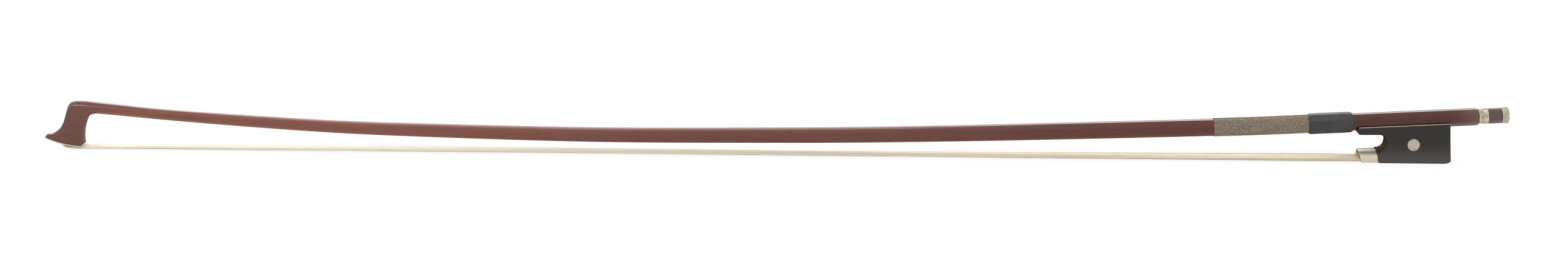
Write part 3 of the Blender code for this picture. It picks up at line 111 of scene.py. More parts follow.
def place_in(tree):
    """The point's place in the piece's own frame, in metres."""
    return add(tree, "TexCoord").outputs["Object"]


def own_direction(tree, axis):
    """How far the surface faces along an axis of the piece's own frame."""
    facing = add(tree, "VectorTransform", vector_type="NORMAL", convert_from="WORLD", convert_to="OBJECT")
    feed(tree, facing.inputs[0], add(tree, "NewGeometry").outputs["Normal"])
    return part_of(tree, facing, axis)


def flatness(tree, width):
    """1 where the surface is flat, and less within a width of its edges."""
    rounded = add(tree, "Bevel", Radius=width, samples=4)
    flat = add(tree, "NewGeometry").outputs["Normal"]
    return add(tree, "VectorMath", rounded, flat, operation="DOT_PRODUCT").outputs["Value"]


def relief(tree, shader, height, depth):
    """Fine relief of the given depth in metres."""
    feed(tree, shader["Normal"], add(tree, "Bump", Height=height, Distance=depth, Strength=1.0))


def new_group(name, inputs, outputs):
    """An empty effect with named inputs and outputs."""
    tree = bpy.data.node_groups.new(name, "ShaderNodeTree")
    for in_out, sockets in (("INPUT", inputs), ("OUTPUT", outputs)):
        for label, kind in sockets.items():
            tree.interface.new_socket(label, in_out=in_out, socket_type="NodeSocket" + kind)
    given = tree.nodes.new("NodeGroupInput").outputs
    result = tree.nodes.new("NodeGroupOutput").inputs
    return tree, given, result


def effect(tree, group, **values):
    """Places a shared effect in a material, with the material's own values."""
    node = add(tree, "Group")
    node.node_tree = group
    for label, value in values.items():
        feed(tree, node.inputs[label], value)
    return node.outputs


def new_material(name, **plain):
    """A material of one Principled shader, with its plain values set on the shader's own sockets."""
    made = bpy.data.materials.new(name)
    made.use_nodes = True
    shader = made.node_tree.nodes["Principled BSDF"].inputs
    for label, value in plain.items():
        feed(made.node_tree, shader[label.replace("_", " ")], value)
    return made, made.node_tree, shader


SHARP_FROM = radians(30)
FACETS_JOINED_WITHIN = 0.001 * MM

smoothing = bpy.data.node_groups.new("smooth by angle", "GeometryNodeTree")
for in_out in ("INPUT", "OUTPUT"):
    smoothing.interface.new_socket("Geometry", in_out=in_out, socket_type="NodeSocketGeometry")
given = smoothing.nodes.new("NodeGroupInput").outputs
result = smoothing.nodes.new("NodeGroupOutput").inputs
plain = smoothing.nodes.new("GeometryNodeRemoveAttribute")
plain.inputs["Name"].default_value = "custom_normal"
rounded = smoothing.nodes.new("GeometryNodeSetShadeSmooth")
creased = smoothing.nodes.new("GeometryNodeSetShadeSmooth")
creased.domain = "EDGE"
bend = smoothing.nodes.new("GeometryNodeInputMeshEdgeAngle")
gentle = smoothing.nodes.new("FunctionNodeCompare")
gentle.operation = "LESS_THAN"
gentle.inputs["B"].default_value = SHARP_FROM
smoothing.links.new(given["Geometry"], plain.inputs["Geometry"])
smoothing.links.new(plain.outputs[0], rounded.inputs["Geometry"])
smoothing.links.new(rounded.outputs[0], creased.inputs["Geometry"])
smoothing.links.new(bend.outputs["Unsigned Angle"], gentle.inputs["A"])
smoothing.links.new(gentle.outputs[0], creased.inputs["Shade Smooth"])
smoothing.links.new(creased.outputs[0], result["Geometry"])


def finish_surface(piece, eased):
    """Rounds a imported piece's facets into smooth curves, and eases its corners by a real width."""
    joined = piece.modifiers.new("joined facets", "WELD")
    joined.merge_threshold = FACETS_JOINED_WITHIN
    if eased:
        edge = piece.modifiers.new("eased edges", "BEVEL")
        edge.width = eased
        edge.segments = 2
        edge.angle_limit = SHARP_FROM
    piece.modifiers.new("smooth curves", "NODES").node_group = smoothing


def dress(material, *names, eased=0.0):
    """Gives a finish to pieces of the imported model."""
    for name in names:
        slots = nodes[name].data.materials
        slots.clear()
        slots.append(material)
        finish_surface(nodes[name], eased)


grain, given, result = new_group(
    "straight grain",
    {"Vector": "Vector", "Width": "Float", "Run": "Float", "Detail": "Float"},
    {"Value": "Float"},
)
long_size = maths(grain, "MULTIPLY", given["Width"], given["Run"])
streak_size = add(grain, "CombineXYZ", long_size, given["Width"], given["Width"])
stretched = add(grain, "VectorMath", given["Vector"], streak_size, operation="DIVIDE")
feed(grain, result["Value"], add(grain, "TexNoise", Vector=stretched, Scale=1.0, Detail=given["Detail"]))

end_grain, given, result = new_group("end grain", {"From": "Float", "To": "Float"}, {"Mask": "Float"})
lengthwise = maths(end_grain, "ABSOLUTE", own_direction(end_grain, "X"))
feed(end_grain, result["Mask"], between(end_grain, lengthwise, given["From"], given["To"]))

PORE_LEVEL = 0.72
PORE_SHARPNESS = 14.0
pores, given, result = new_group(
    "open pores",
    {"Vector": "Vector", "Width": "Float", "Run": "Float", "Share": "Float"},
    {"Mask": "Float"},
)
dashes = effect(pores, grain, Vector=given["Vector"], Width=given["Width"], Run=given["Run"], Detail=1.0)[0]
dashes = maths(pores, "SUBTRACT", dashes, maths(pores, "SUBTRACT", PORE_LEVEL, given["Share"]))
feed(pores, result["Mask"], maths(pores, "MULTIPLY", dashes, PORE_SHARPNESS, use_clamp=True))

HEAD_BROWN = (0.150, 0.056, 0.040)
PALE_SHAFT = (0.215, 0.072, 0.048)
SHAFT_BROWN = (0.150, 0.045, 0.032)
REAR_BROWN = (0.098, 0.021, 0.011)
HANDLE_RED = (0.070, 0.0135, 0.0055)
HEEL_WORN = (0.130, 0.068, 0.050)
PAINTED_ARRIS_HIGHLIGHT = (0.80, 0.68, 0.62)
END_SHADE = (0.62, 0.62, 0.62)
DARKER = (0.42, 0.36, 0.34)
WARMER = (1.45, 1.10, 0.72)
STICK_COLOURS = (
    (-354 * MM, -320 * MM, PALE_SHAFT),
    (-210 * MM, 20 * MM, SHAFT_BROWN),
    (20 * MM, 215 * MM, REAR_BROWN),
    (215 * MM, 285 * MM, HANDLE_RED),
)
HEEL = (348 * MM, 365 * MM)
HEEL_RAGGED = 10 * MM
THIN_POLISH_FRONT = (-352 * MM, -300 * MM)
THIN_POLISH_REAR = (120 * MM, 300 * MM)
ARRIS_WIDTH = 0.5 * MM
ARRIS_SHINE = 0.75
OTHER_EDGES_SHINE = 0.03
CROWN_FRONT = (-358 * MM, -354.5 * MM)
CROWN_FOOT = (19 * MM, 22 * MM)
ARRIS_FADES = (-352 * MM, -322 * MM)
CROWN_FADES = (-353 * MM, -346 * MM)

pernambuco, tree, shader = new_material("pernambuco", Specular_IOR_Level=0.42)
place = place_in(tree)
along = part_of(tree, place, "X")
level = part_of(tree, place, "Z")
bands = effect(tree, grain, Vector=place, Width=1.5 * MM, Run=26.0, Detail=2.0)[0]
streaks = effect(tree, grain, Vector=place, Width=0.30 * MM, Run=24.0, Detail=3.0)[0]
flecks = effect(tree, grain, Vector=place, Width=0.16 * MM, Run=13.0, Detail=1.0)[0]
holes = effect(tree, pores, Vector=place, Width=0.075 * MM, Run=18.0, Share=0.06)[0]
ends = effect(tree, end_grain, From=0.45, To=0.90)[0]
patches = add(tree, "TexNoise", Vector=place, Scale=24.0, Detail=3.0)
body = HEAD_BROWN
for start, end, colour in STICK_COLOURS:
    body = tint(tree, between(tree, along, start, end), body, colour)
heel = maths(tree, "MULTIPLY_ADD", patches, HEEL_RAGGED, along)
body = tint(tree, between(tree, heel, *HEEL), body, HEEL_WORN)
for lines, low, high, at_low, at_high, colour in (
    (bands, 0.52, 0.78, 0.0, 0.45, WARMER),
    (bands, 0.22, 0.46, 0.45, 0.0, DARKER),
    (streaks, 0.52, 0.70, 0.0, 0.35, WARMER),
    (streaks, 0.28, 0.46, 0.40, 0.0, DARKER),
    (flecks, 0.60, 0.72, 0.0, 0.35, WARMER),
):
    body = tint(tree, between(tree, lines, low, high, at_low, at_high), body, colour, "MULTIPLY")
body = tint(tree, maths(tree, "MULTIPLY", holes, 0.5), body, DARKER, "MULTIPLY")
body = tint(tree, ends, body, END_SHADE, "MULTIPLY")
# Painted highlight: a pale line along the head's upper edge and a pale spot at its top front, with a faint
# painted highlight on every other edge.
flat = flatness(tree, ARRIS_WIDTH)
crown_highlight = maths(tree, "MULTIPLY", between(tree, along, *CROWN_FRONT), between(tree, level, *CROWN_FOOT))
arris_highlight = maths(tree, "MULTIPLY", crown_highlight, between(tree, along, *ARRIS_FADES, ARRIS_SHINE, 0.0))
arris_highlight = maths(tree, "ADD", arris_highlight, OTHER_EDGES_SHINE)
arris_highlight = maths(tree, "MULTIPLY", between(tree, flat, 0.92, 0.985, 1.0, 0.0), arris_highlight)
crown_highlight = maths(tree, "MULTIPLY", crown_highlight, between(tree, along, *CROWN_FADES, 1.0, 0.0))
crown_highlight = maths(tree, "MULTIPLY", between(tree, flat, 0.955, 0.9995, 1.0, 0.0), crown_highlight)
feed(tree, shader["Base Color"], tint(tree, maths(tree, "MAXIMUM", arris_highlight, crown_highlight), body, PAINTED_ARRIS_HIGHLIGHT))
front = between(tree, along, *THIN_POLISH_FRONT)
thin_polish = maths(tree, "MULTIPLY", front, between(tree, along, *THIN_POLISH_REAR, 1.0, 0.0))
rough = duller(tree, thin_polish, by=0.10, than=0.16)
rough = duller(tree, ends, by=0.40, than=rough)
feed(tree, shader["Roughness"], duller(tree, streaks, by=0.08, than=rough))
height = maths(tree, "SUBTRACT", maths(tree, "MULTIPLY", streaks, 0.5), holes)
relief(tree, shader, height, depth=0.02 * MM)
dress(pernambuco, "stick", eased=0.12 * MM)


# The face plate is sawn from an ivory-coloured block, bent up to the nose and glued under the head. Fine
# lines run along it, and it has yellowed in clouds.

IVORY = (0.80, 0.72, 0.52)
IVORY_LINES = (0.72, 0.62, 0.41)
YELLOWED = (0.62, 0.50, 0.30)

ivory, tree, shader = new_material("face plate", Roughness=0.30, Specular_IOR_Level=0.5)
place = place_in(tree)
lines = effect(tree, grain, Vector=place, Width=0.35 * MM, Run=16.0, Detail=2.0)[0]
cloud = add(tree, "TexNoise", Vector=place, Scale=260.0, Detail=2.0)
body = tint(tree, between(tree, lines, 0.35, 0.68), IVORY, IVORY_LINES)
feed(tree, shader["Base Color"], tint(tree, between(tree, cloud, 0.45, 0.75, 0.0, 0.5), body, YELLOWED))
relief(tree, shader, lines, depth=0.008 * MM)
dress(ivory, "head_plate", eased=0.10 * MM)


# The frog is cut from a block of ebony, oiled and polished. Hands have greyed it near its sole, and
# thumbs have rubbed its throat brown and dull. A darkening coat over the throat's walls and lip is
# painted shade. The lining under the head and the backing of the pearl slide are slices of the same wood.

FRESH_EBONY = (0.0085, 0.0050, 0.0050)
PALE_EBONY = (0.0150, 0.0100, 0.0095)
RUBBED_EBONY = (0.085, 0.048, 0.032)
HANDLED_EBONY = (0.086, 0.075, 0.071)
THROAT_SHADE = (0.87, 0.82, 0.79)
THROAT_END = (311.5 * MM, 313 * MM)
RUBBED_WIDTH = 0.8 * MM
HANDLED_HEIGHT = (1 * MM, 12 * MM)
HANDLED_RAGGED = 3 * MM

# Painted shade: a mask of the faces that look upward, which a darkening coat dims.
upward_shade, given, result = new_group("painted upward shade", {"From": "Float", "To": "Float"}, {"Mask": "Float"})
rising = own_direction(upward_shade, "Z")
feed(upward_shade, result["Mask"], between(upward_shade, rising, given["From"], given["To"]))


def shade_film(darkening):
    """A coat with no gloss of its own, which darkens what is under it: painted shade."""
    return {"Coat_IOR": 1.0, "Coat_Tint": darkening}


ebony, tree, shader = new_material("oiled ebony", Specular_IOR_Level=0.42, **shade_film(THROAT_SHADE))
place = place_in(tree)
bands = effect(tree, grain, Vector=place, Width=0.9 * MM, Run=16.0, Detail=3.0)[0]
holes = effect(tree, pores, Vector=place, Width=0.07 * MM, Run=12.0, Share=0.05)[0]
patches = add(tree, "TexNoise", Vector=place, Scale=420.0, Detail=3.0)
flat = maths(tree, "MULTIPLY_ADD", patches, 0.03, flatness(tree, RUBBED_WIDTH))
rubbed = between(tree, flat, 0.955, 1.010, 0.75, 0.0)
level = maths(tree, "MULTIPLY_ADD", patches, HANDLED_RAGGED, part_of(tree, place, "Z"))
ends = effect(tree, end_grain, From=0.30, To=0.75)[0]
lip = effect(tree, upward_shade, From=0.40, To=0.75)[0]
in_throat = between(tree, part_of(tree, place, "X"), *THROAT_END, 1.0, 0.0)
throat_rubbed_and_shaded = maths(tree, "MULTIPLY", maths(tree, "MAXIMUM", ends, lip), in_throat)
body = tint(tree, between(tree, bands, 0.35, 0.75), FRESH_EBONY, PALE_EBONY)
body = tint(tree, between(tree, level, *HANDLED_HEIGHT, 0.8, 0.0), body, HANDLED_EBONY)
brown = maths(tree, "MAXIMUM", rubbed, maths(tree, "MULTIPLY", throat_rubbed_and_shaded, 0.6))
feed(tree, shader["Base Color"], tint(tree, brown, body, RUBBED_EBONY))
# Painted shade: the coat darkens the throat; the brown tint and the higher roughness there are real rubbing.
feed(tree, shader["Coat Weight"], throat_rubbed_and_shaded)
rough = duller(tree, throat_rubbed_and_shaded, by=0.50, than=0.24)
feed(tree, shader["Roughness"], duller(tree, bands, by=0.14, than=rough))
relief(tree, shader, maths(tree, "SUBTRACT", bands, holes), depth=0.010 * MM)
dress(ebony, "frog", eased=0.10 * MM)
dress(ebony, "head_lining", "slide_backing")


# The plugs that lock the hair, and the wedge that spreads it in the ferrule, are split from plain pale
# wood and pushed in dry. Rosin and handling have stained the wedge orange-brown.

def grained(name, ground, lines, width, run, roughness, gloss, detail=3.0):
    """A material with fine lines on its ground: both colours, the lines' width, and their run in widths."""
    made, tree, shader = new_material(name, Specular_IOR_Level=gloss)
    streaks = effect(tree, grain, Vector=place_in(tree), Width=width, Run=run, Detail=detail)[0]
    feed(tree, shader["Base Color"], tint(tree, streaks, ground, lines))
    feed(tree, shader["Roughness"], duller(tree, streaks, by=0.2, than=roughness))
    relief(tree, shader, streaks, depth=0.03 * MM)
    return made


plain_wood = grained(
    "plug wood",
    ground=(0.66, 0.48, 0.29),
    lines=(0.42, 0.27, 0.14),
    width=0.5 * MM,
    run=9.0,
    roughness=0.55,
    gloss=0.3,
)
dress(plain_wood, "head_plug", "frog_plug", eased=0.10 * MM)
stained_wood = grained(
    "stained wedge",
    ground=(0.52, 0.23, 0.085),
    lines=(0.24, 0.085, 0.030),
    width=0.4 * MM,
    run=7.0,
    roughness=0.42,
    gloss=0.35,
)
dress(stained_wood, "spread_wedge", eased=0.12 * MM)


# The frog's metal is bent and soldered from sheet: the underslide and its pins in silver, the ferrule in
# nickel silver. Years of hands have dulled it in patches and left fine scratches. Warm metal shows where
# edges have been rubbed, most of all along the ferrule's rear edge.

METAL_TOP_SHADE = (0.80, 0.79, 0.78)
METAL_EDGE = 0.35 * MM

wear, given, result = new_group(
    "worn metal",
    {"Vector": "Vector", "Size": "Float"},
    {"Dull": "Float", "Scratches": "Float"},
)


def in_units(tree, vector, size):
    """A place counted in units of a size."""
    scaled = add(tree, "VectorMath", vector, operation="SCALE")
    feed(tree, scaled.inputs["Scale"], maths(tree, "DIVIDE", 1.0, size))
    return scaled


scaled = in_units(wear, given["Vector"], given["Size"])
blotches = add(wear, "TexNoise", Vector=scaled, Scale=1.0, Detail=4.0, Roughness=0.6)
feed(wear, result["Dull"], between(wear, blotches, 0.34, 0.66))
scratches = []
for direction in ((3.0, 40.0, 40.0), (26.0, 5.0, 17.0)):
    fine = add(wear, "VectorMath", scaled, direction, operation="MULTIPLY")
    scratches.append(add(wear, "TexNoise", Vector=fine, Scale=1.0, Detail=2.0))
feed(wear, result["Scratches"], maths(wear, "MULTIPLY_ADD", scratches[1], 0.7, scratches[0]))


def metal(name, clean, dulled, rubbed, patch, roughness):
    """A worn metal: its clean, dulled and rubbed colours, and the size of its patches."""
    made, tree, shader = new_material(name, Metallic=1.0, **shade_film(METAL_TOP_SHADE))
    marks = effect(tree, wear, Vector=place_in(tree), Size=patch)
    body = tint(tree, marks["Dull"], clean, dulled)
    edges = between(tree, flatness(tree, METAL_EDGE), 0.90, 0.995, 0.6, 0.0)
    feed(tree, shader["Base Color"], tint(tree, edges, body, rubbed))
    # Painted shade: the metal's upward faces are darkened under a coat.
    feed(tree, shader["Coat Weight"], effect(tree, upward_shade, From=0.35, To=0.90)[0])
    rough = duller(tree, marks["Dull"], by=0.16, than=roughness)
    feed(tree, shader["Roughness"], duller(tree, marks["Scratches"], by=0.06, than=rough))
    relief(tree, shader, marks["Scratches"], depth=0.004 * MM)
    return made


underslide = metal(
    "underslide silver",
    clean=(0.56, 0.52, 0.40),
    dulled=(0.42, 0.38, 0.28),
    rubbed=(0.64, 0.60, 0.48),
    patch=2.2 * MM,
    roughness=0.30,
)
dress(underslide, "frog_liner", "liner_pin_front", "liner_pin_rear", eased=0.03 * MM)

FERRULE_EDGE = (307.10 * MM, 307.32 * MM)
FERRULE_EDGE_LEANS = 0.16
RUBBED_THROUGH = (0.40, 0.29, 0.10)

ferrule_metal = metal(
    "ferrule nickel silver",
    clean=(0.730, 0.685, 0.550),
    dulled=(0.690, 0.640, 0.505),
    rubbed=(0.56, 0.44, 0.24),
    patch=2.4 * MM,
    roughness=0.40,
)
tree = ferrule_metal.node_tree
colour = tree.nodes["Principled BSDF"].inputs["Base Color"]
parts = add(tree, "SeparateXYZ", place_in(tree)).outputs
leaning = maths(tree, "MULTIPLY_ADD", parts["Z"], FERRULE_EDGE_LEANS, parts["X"])
rear_edge = between(tree, leaning, *FERRULE_EDGE, 0.0, 0.9)
feed(tree, colour, tint(tree, rear_edge, colour.links[0].from_socket, RUBBED_THROUGH))
dress(ferrule_metal, "ferrule", eased=0.07 * MM)


# The eyes and the slide are mother-of-pearl, sawn from flat shell, let into the ebony and polished
# flush. The shell's layers show as soft wavy figure with a little pink and green in it.

nacre, given, result = new_group(
    "nacre figure",
    {"Vector": "Vector", "Size": "Float"},
    {"Figure": "Float", "Hue": "Float"},
)
scaled = in_units(nacre, given["Vector"], given["Size"])
sweep = add(nacre, "TexNoise", Vector=scaled, Scale=0.8, Detail=2.0)
bent = add(nacre, "VectorMath", scaled, sweep.outputs["Color"], operation="ADD")
layers = add(nacre, "TexNoise", Vector=bent, Scale=1.6, Detail=3.0, Distortion=0.8)
feed(nacre, result["Figure"], between(nacre, layers, 0.3, 0.7))
feed(nacre, result["Hue"], add(nacre, "TexNoise", Vector=bent, Scale=1.1, Detail=1.0))

SHELL_DEEP = (0.44, 0.40, 0.31)
SHELL_PALE = (0.55, 0.505, 0.41)
SHELL_PINK = (0.55, 0.44, 0.40)
SHELL_GREEN = (0.42, 0.47, 0.40)

pearl, tree, shader = new_material("mother-of-pearl", Coat_Weight=0.4, Coat_Roughness=0.08)
figure = effect(tree, nacre, Vector=place_in(tree), Size=3.4 * MM)
body = tint(tree, figure["Figure"], SHELL_DEEP, SHELL_PALE)
body = tint(tree, between(tree, figure["Hue"], 0.50, 0.68, 0.0, 0.45), body, SHELL_PINK)
body = tint(tree, between(tree, figure["Hue"], 0.30, 0.46, 0.40, 0.0), body, SHELL_GREEN)
feed(tree, shader["Base Color"], body)
feed(tree, shader["Roughness"], duller(tree, figure["Figure"], by=0.12, than=0.24))
relief(tree, shader, figure["Figure"], depth=0.01 * MM)
dress(pearl, "eye_front", "eye_back", "pearl_slide", eased=0.06 * MM)


# The screw is a turned steel rod threaded at its middle. It runs in a brass eyelet that is screwed into
# the frog, and draws the frog along the handle.

brass = metal(
    "eyelet brass",
    clean=(0.72, 0.52, 0.24),
    dulled=(0.50, 0.34, 0.15),
    rubbed=(0.80, 0.62, 0.32),
    patch=1.4 * MM,
    roughness=0.28,
)
dress(brass, "eyelet", eased=0.06 * MM)
steel = metal(
    "screw steel",
    clean=(0.56, 0.56, 0.56),
    dulled=(0.40, 0.39, 0.38),
    rubbed=(0.66, 0.66, 0.66),
    patch=1.8 * MM,
    roughness=0.26,
)
dress(steel, "screw", eased=0.06 * MM)


# The button is an octagonal wooden barrel between two nickel silver rings, all pinned to the screw. Its
# wood is grey with handling, and its front ring shows brassy patches.

BARREL_TOP_SHADE = (0.86, 0.84, 0.83)
BARREL_DARK = (0.062, 0.034, 0.027)
BARREL_GREY = (0.135, 0.085, 0.070)
BARREL_STREAKS = (0.19, 0.12, 0.09)

button_wood, tree, shader = new_material("button wood", Specular_IOR_Level=0.45, **shade_film(BARREL_TOP_SHADE))
place = place_in(tree)
bands = effect(tree, grain, Vector=place, Width=0.7 * MM, Run=8.0, Detail=3.0)[0]
streaks = effect(tree, grain, Vector=place, Width=0.2 * MM, Run=10.0, Detail=2.0)[0]
body = tint(tree, bands, BARREL_DARK, BARREL_GREY)
body = tint(tree, between(tree, streaks, 0.55, 0.72, 0.0, 0.4), body, BARREL_STREAKS)
feed(tree, shader["Base Color"], body)
# Painted shade: the barrel's upward faces are darkened under a coat.
feed(tree, shader["Coat Weight"], effect(tree, upward_shade, From=0.35, To=0.90)[0])
feed(tree, shader["Roughness"], duller(tree, streaks, by=0.15, than=0.30))
relief(tree, shader, streaks, depth=0.02 * MM)
dress(button_wood, "button_core", eased=0.10 * MM)

collar_metal = metal(
    "collar nickel silver",
    clean=(0.68, 0.63, 0.53),
    dulled=(0.46, 0.36, 0.22),
    rubbed=(0.60, 0.51, 0.33),
    patch=1.5 * MM,
    roughness=0.30,
)
dress(collar_metal, "button_collar", eased=0.05 * MM)
cap_metal = metal(
    "cap nickel silver",
    clean=(0.56, 0.51, 0.40),
    dulled=(0.43, 0.39, 0.30),
    rubbed=(0.46, 0.42, 0.33),
    patch=1.3 * MM,
    roughness=0.34,
)
dress(cap_metal, "button_cap", eased=0.10 * MM)


# The hair is a hank of about two hundred white horsehairs, tied at both ends, combed flat and held by
# the plugs and the wedge. Here it is slack, so it lies loosely and thickens towards the frog.

# Each row: the ribbon's middle in x and z, half its width and its thickness, in millimetres.
HAIR_ROUTE = (
    (-363.15, 4.3, 1.6, 0.9),
    (-363.2, 3.3, 1.8, 0.9),
    (-363.05, 2.2, 2.1, 0.9),
    (-362.2, 1.25, 2.35, 0.9),
    (-360.5, 0.72, 2.8, 0.95),
    (-357.6, 0.60, 3.5, 1.05),
    (-353.4, 0.56, 4.1, 0.98),
    (-350.0, 0.68, 4.3, 1.00),
    (-345.0, 0.92, 4.4, 1.15),
    (-300.0, 1.00, 4.5, 1.20),
    (-201.0, 1.01, 4.6, 1.20),
    (-101.0, 1.03, 4.8, 1.22),
    (-1.0, 1.08, 5.0, 1.28),
    (98.0, 1.12, 5.1, 1.45),
    (180.0, 1.17, 5.3, 1.75),
    (240.0, 1.27, 5.45, 2.10),
    (282.0, 1.42, 5.55, 2.45),
    (296.0, 1.50, 5.6, 2.50),
    (300.5, 1.58, 5.5, 2.30),
    (303.0, 1.74, 5.35, 1.80),
    (305.0, 1.90, 5.2, 1.10),
    (307.2, 2.20, 4.9, 0.85),
    (308.4, 2.25, 3.8, 0.85),
    (318.0, 2.35, 3.5, 0.85),
    (322.6, 2.50, 3.4, 0.90),
    (323.9, 3.30, 3.4, 0.90),
    (324.3, 4.60, 3.3, 0.90),
    (324.3, 5.60, 3.3, 0.90),
)
LONGEST_STEP = 13
HAIRS = 200
HAIR_RADIUS = 0.1 * MM
HAIR_SIDES = 4
HAIRS_IN_LOCK = 9
RIBBON_FULLNESS = 0.16
OUTWARD_CROWDING = 0.4
LOOSE_FROM = (-350, -310)
LOOSE_TO = (270, 303)
HAIR_WANDER = (0.02, 0.07)
HAIR_WAVE = 47
LOCK_WANDER = 0.03
LOCK_WAVE = 90
LOCK_OFFSET = 0.30
LOCK_LIFT = 0.25
LIFT_WAVE = 63
LOOSE_FLATTENING = 0.35
INNER_LOCKS = 14
INNER_SIDES = 8
INNER_SPREAD = 0.93
INNER_DEPTH = 0.36


def route_rows(points, longest):
    """A smooth curve through rows of numbers, with a row at least every `longest` millimetres."""
    rows = []
    for i in range(len(points) - 1):
        before = points[max(i - 1, 0)]
        here = points[i]
        after = points[i + 1]
        beyond = points[min(i + 2, len(points) - 1)]
        steps = ceil(hypot(after[0] - here[0], after[1] - here[1]) / longest)
        for k in range(steps):
            t = k / steps
            row = []
            for a, b, c, d in zip(before, here, after, beyond):
                turn = 2 * b + (c - a) * t + (2 * a - 5 * b + 4 * c - d) * t * t
                row.append(0.5 * (turn + (3 * b - a - 3 * c + d) * t**3))
            rows.append(row)
    rows.append(list(points[-1]))
    return rows


def square_to(route, i):
    """The direction square to the route at one of its rows, in the bow's upright plane."""
    before = route[max(i - 1, 0)]
    after = route[min(i + 1, len(route) - 1)]
    run = Vector((after[0] - before[0], 0.0, after[1] - before[1])).normalized()
    return Vector((-run.z, 0.0, run.x))


def ring_round(middle, first, second, sides, turned=0.0):
    """Points round a middle, whose two half axes are given."""
    ring = []
    for k in range(sides):
        angle = 2 * pi * k / sides + turned
        ring.append(middle + first * cos(angle) + second * sin(angle))
    return ring


def add_tube(points, faces, rings):
    """Skins rings of points into a closed tube."""
    first = len(points)
    sides = len(rings[0])
    for ring in rings:
        points.extend(ring)
    for i in range(len(rings) - 1):
        for k in range(sides):
            a = first + i * sides + k
            b = first + i * sides + (k + 1) % sides
            faces.append((a, b, b + sides, a + sides))
    last = first + (len(rings) - 1) * sides
    faces.append(tuple(range(first + sides - 1, first - 1, -1)))
    faces.append(tuple(range(last, last + sides)))


def new_piece(name, points, faces, material, smooth=True):
    """Makes one piece from points in metres and faces."""
    mesh = bpy.data.meshes.new(name)
    mesh.from_pydata(points, [], faces)
    mesh.validate()
    if smooth:
        mesh.shade_smooth()
    mesh.materials.append(material)
    made = bpy.data.objects.new(name, mesh)
    bpy.context.collection.objects.link(made)
    return made


def soft_step(value, low, high):
    share = min(max((value - low) / (high - low), 0.0), 1.0)
    return share * share * (3 - 2 * share)


def held_to(value):
    """Keeps a share of the ribbon's half width or half thickness inside it."""
    return min(max(value, -1.0), 1.0)


WHITE_HAIR = (0.990, 0.930, 0.800)
CREAM_HAIR = (0.955, 0.865, 0.690)
DARK_HAIR = (0.76, 0.62, 0.44)
ROSIN_CLOUDS = (0.90, 0.82, 0.68)
HANDLED_HAIR = (0.93, 0.885, 0.80)
HAIR_SHADED_AT_MOUTH = (0.84, 0.75, 0.65)
HANDLED_STRETCH = (-60 * MM, 290 * MM)
MOUTH_SHADE_STRETCH = (295 * MM, 305 * MM)

horsehair, tree, shader = new_material("horsehair", Roughness=0.42, Specular_IOR_Level=0.4)
place = place_in(tree)
along = part_of(tree, place, "X")
tone = add(tree, "NewGeometry").outputs["Random Per Island"]
cloud = add(tree, "TexNoise", Vector=place, Scale=60.0, Detail=2.0)
body = tint(tree, tone, WHITE_HAIR, CREAM_HAIR)
body = tint(tree, between(tree, tone, 0.93, 0.95, 0.0, 0.40), body, DARK_HAIR)
body = tint(tree, between(tree, cloud, 0.45, 0.70, 0.0, 0.30), body, ROSIN_CLOUDS)
body = tint(tree, between(tree, along, *HANDLED_STRETCH), body, HANDLED_HAIR, "MULTIPLY")
# Painted shadow: the hair darkens where it runs into the ferrule's mouth under the frog.
body = tint(tree, between(tree, along, *MOUTH_SHADE_STRETCH), body, HAIR_SHADED_AT_MOUTH, "MULTIPLY")
feed(tree, shader["Base Color"], body)
relief(tree, shader, add(tree, "TexNoise", Vector=place, Scale=9000.0, Detail=1.0), depth=0.004 * MM)

ACROSS = Vector((0, 1, 0))
route = route_rows(HAIR_ROUTE, LONGEST_STEP)
draw = random.Random(7)
locks = []
for _ in range(HAIRS // HAIRS_IN_LOCK + 1):
    locks.append((draw.uniform(-1, 1), draw.uniform(-1, 1), draw.uniform(0, 2 * pi)))
points = []
faces = []
for hair_number in range(HAIRS):
    across = -1 + 2 * (hair_number + draw.random()) / HAIRS
    lift = draw.uniform(-1, 1)
    lift = abs(lift) ** OUTWARD_CROWDING * (1 if lift > 0 else -1)
    drift = draw.uniform(0, 2 * pi)
    wander = draw.uniform(*HAIR_WANDER)
    lock_across, lock_lift, lock_drift = locks[hair_number // HAIRS_IN_LOCK]
    rings = []
    for i, (x, z, half, thick) in enumerate(route):
        normal = square_to(route, i)
        loose = soft_step(x, *LOOSE_FROM) * (1 - soft_step(x, *LOOSE_TO))
        swing = wander * sin(x / HAIR_WAVE + drift) + LOCK_WANDER * sin(x / LOCK_WAVE + lock_drift)
        side = held_to(across + loose * swing)
        room = (1 - side * side) ** RIBBON_FULLNESS
        lock_rise = LOCK_OFFSET * lock_lift + LOCK_LIFT * sin(x / LIFT_WAVE + lock_drift + lock_across)
        rise = held_to(lift * (1 - LOOSE_FLATTENING * loose) + loose * lock_rise) * room
        reach = max(thick * MM / 2 - HAIR_RADIUS, 0.0)
        middle = Vector((x * MM, side * (half * MM - HAIR_RADIUS), z * MM)) + normal * rise * reach
        rings.append(ring_round(middle, normal * HAIR_RADIUS, ACROSS * HAIR_RADIUS, HAIR_SIDES, drift))
    add_tube(points, faces, rings)
for lock_number in range(INNER_LOCKS):
    side = (-1 + (2 * lock_number + 1) / INNER_LOCKS) * INNER_SPREAD
    room = (1 - side * side) ** RIBBON_FULLNESS
    rings = []
    for i, (x, z, half, thick) in enumerate(route):
        middle = Vector((x * MM, side * half * MM, z * MM))
        rise = square_to(route, i) * thick * room * INNER_DEPTH * MM
        rings.append(ring_round(middle, rise, ACROSS * half / INNER_LOCKS * MM, INNER_SIDES))
    add_tube(points, faces, rings)
hair = new_piece("hair_strands", points, faces, horsehair)
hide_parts("hair_ribbon")
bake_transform(hair)
dress(horsehair, "head_knot", "frog_knot")


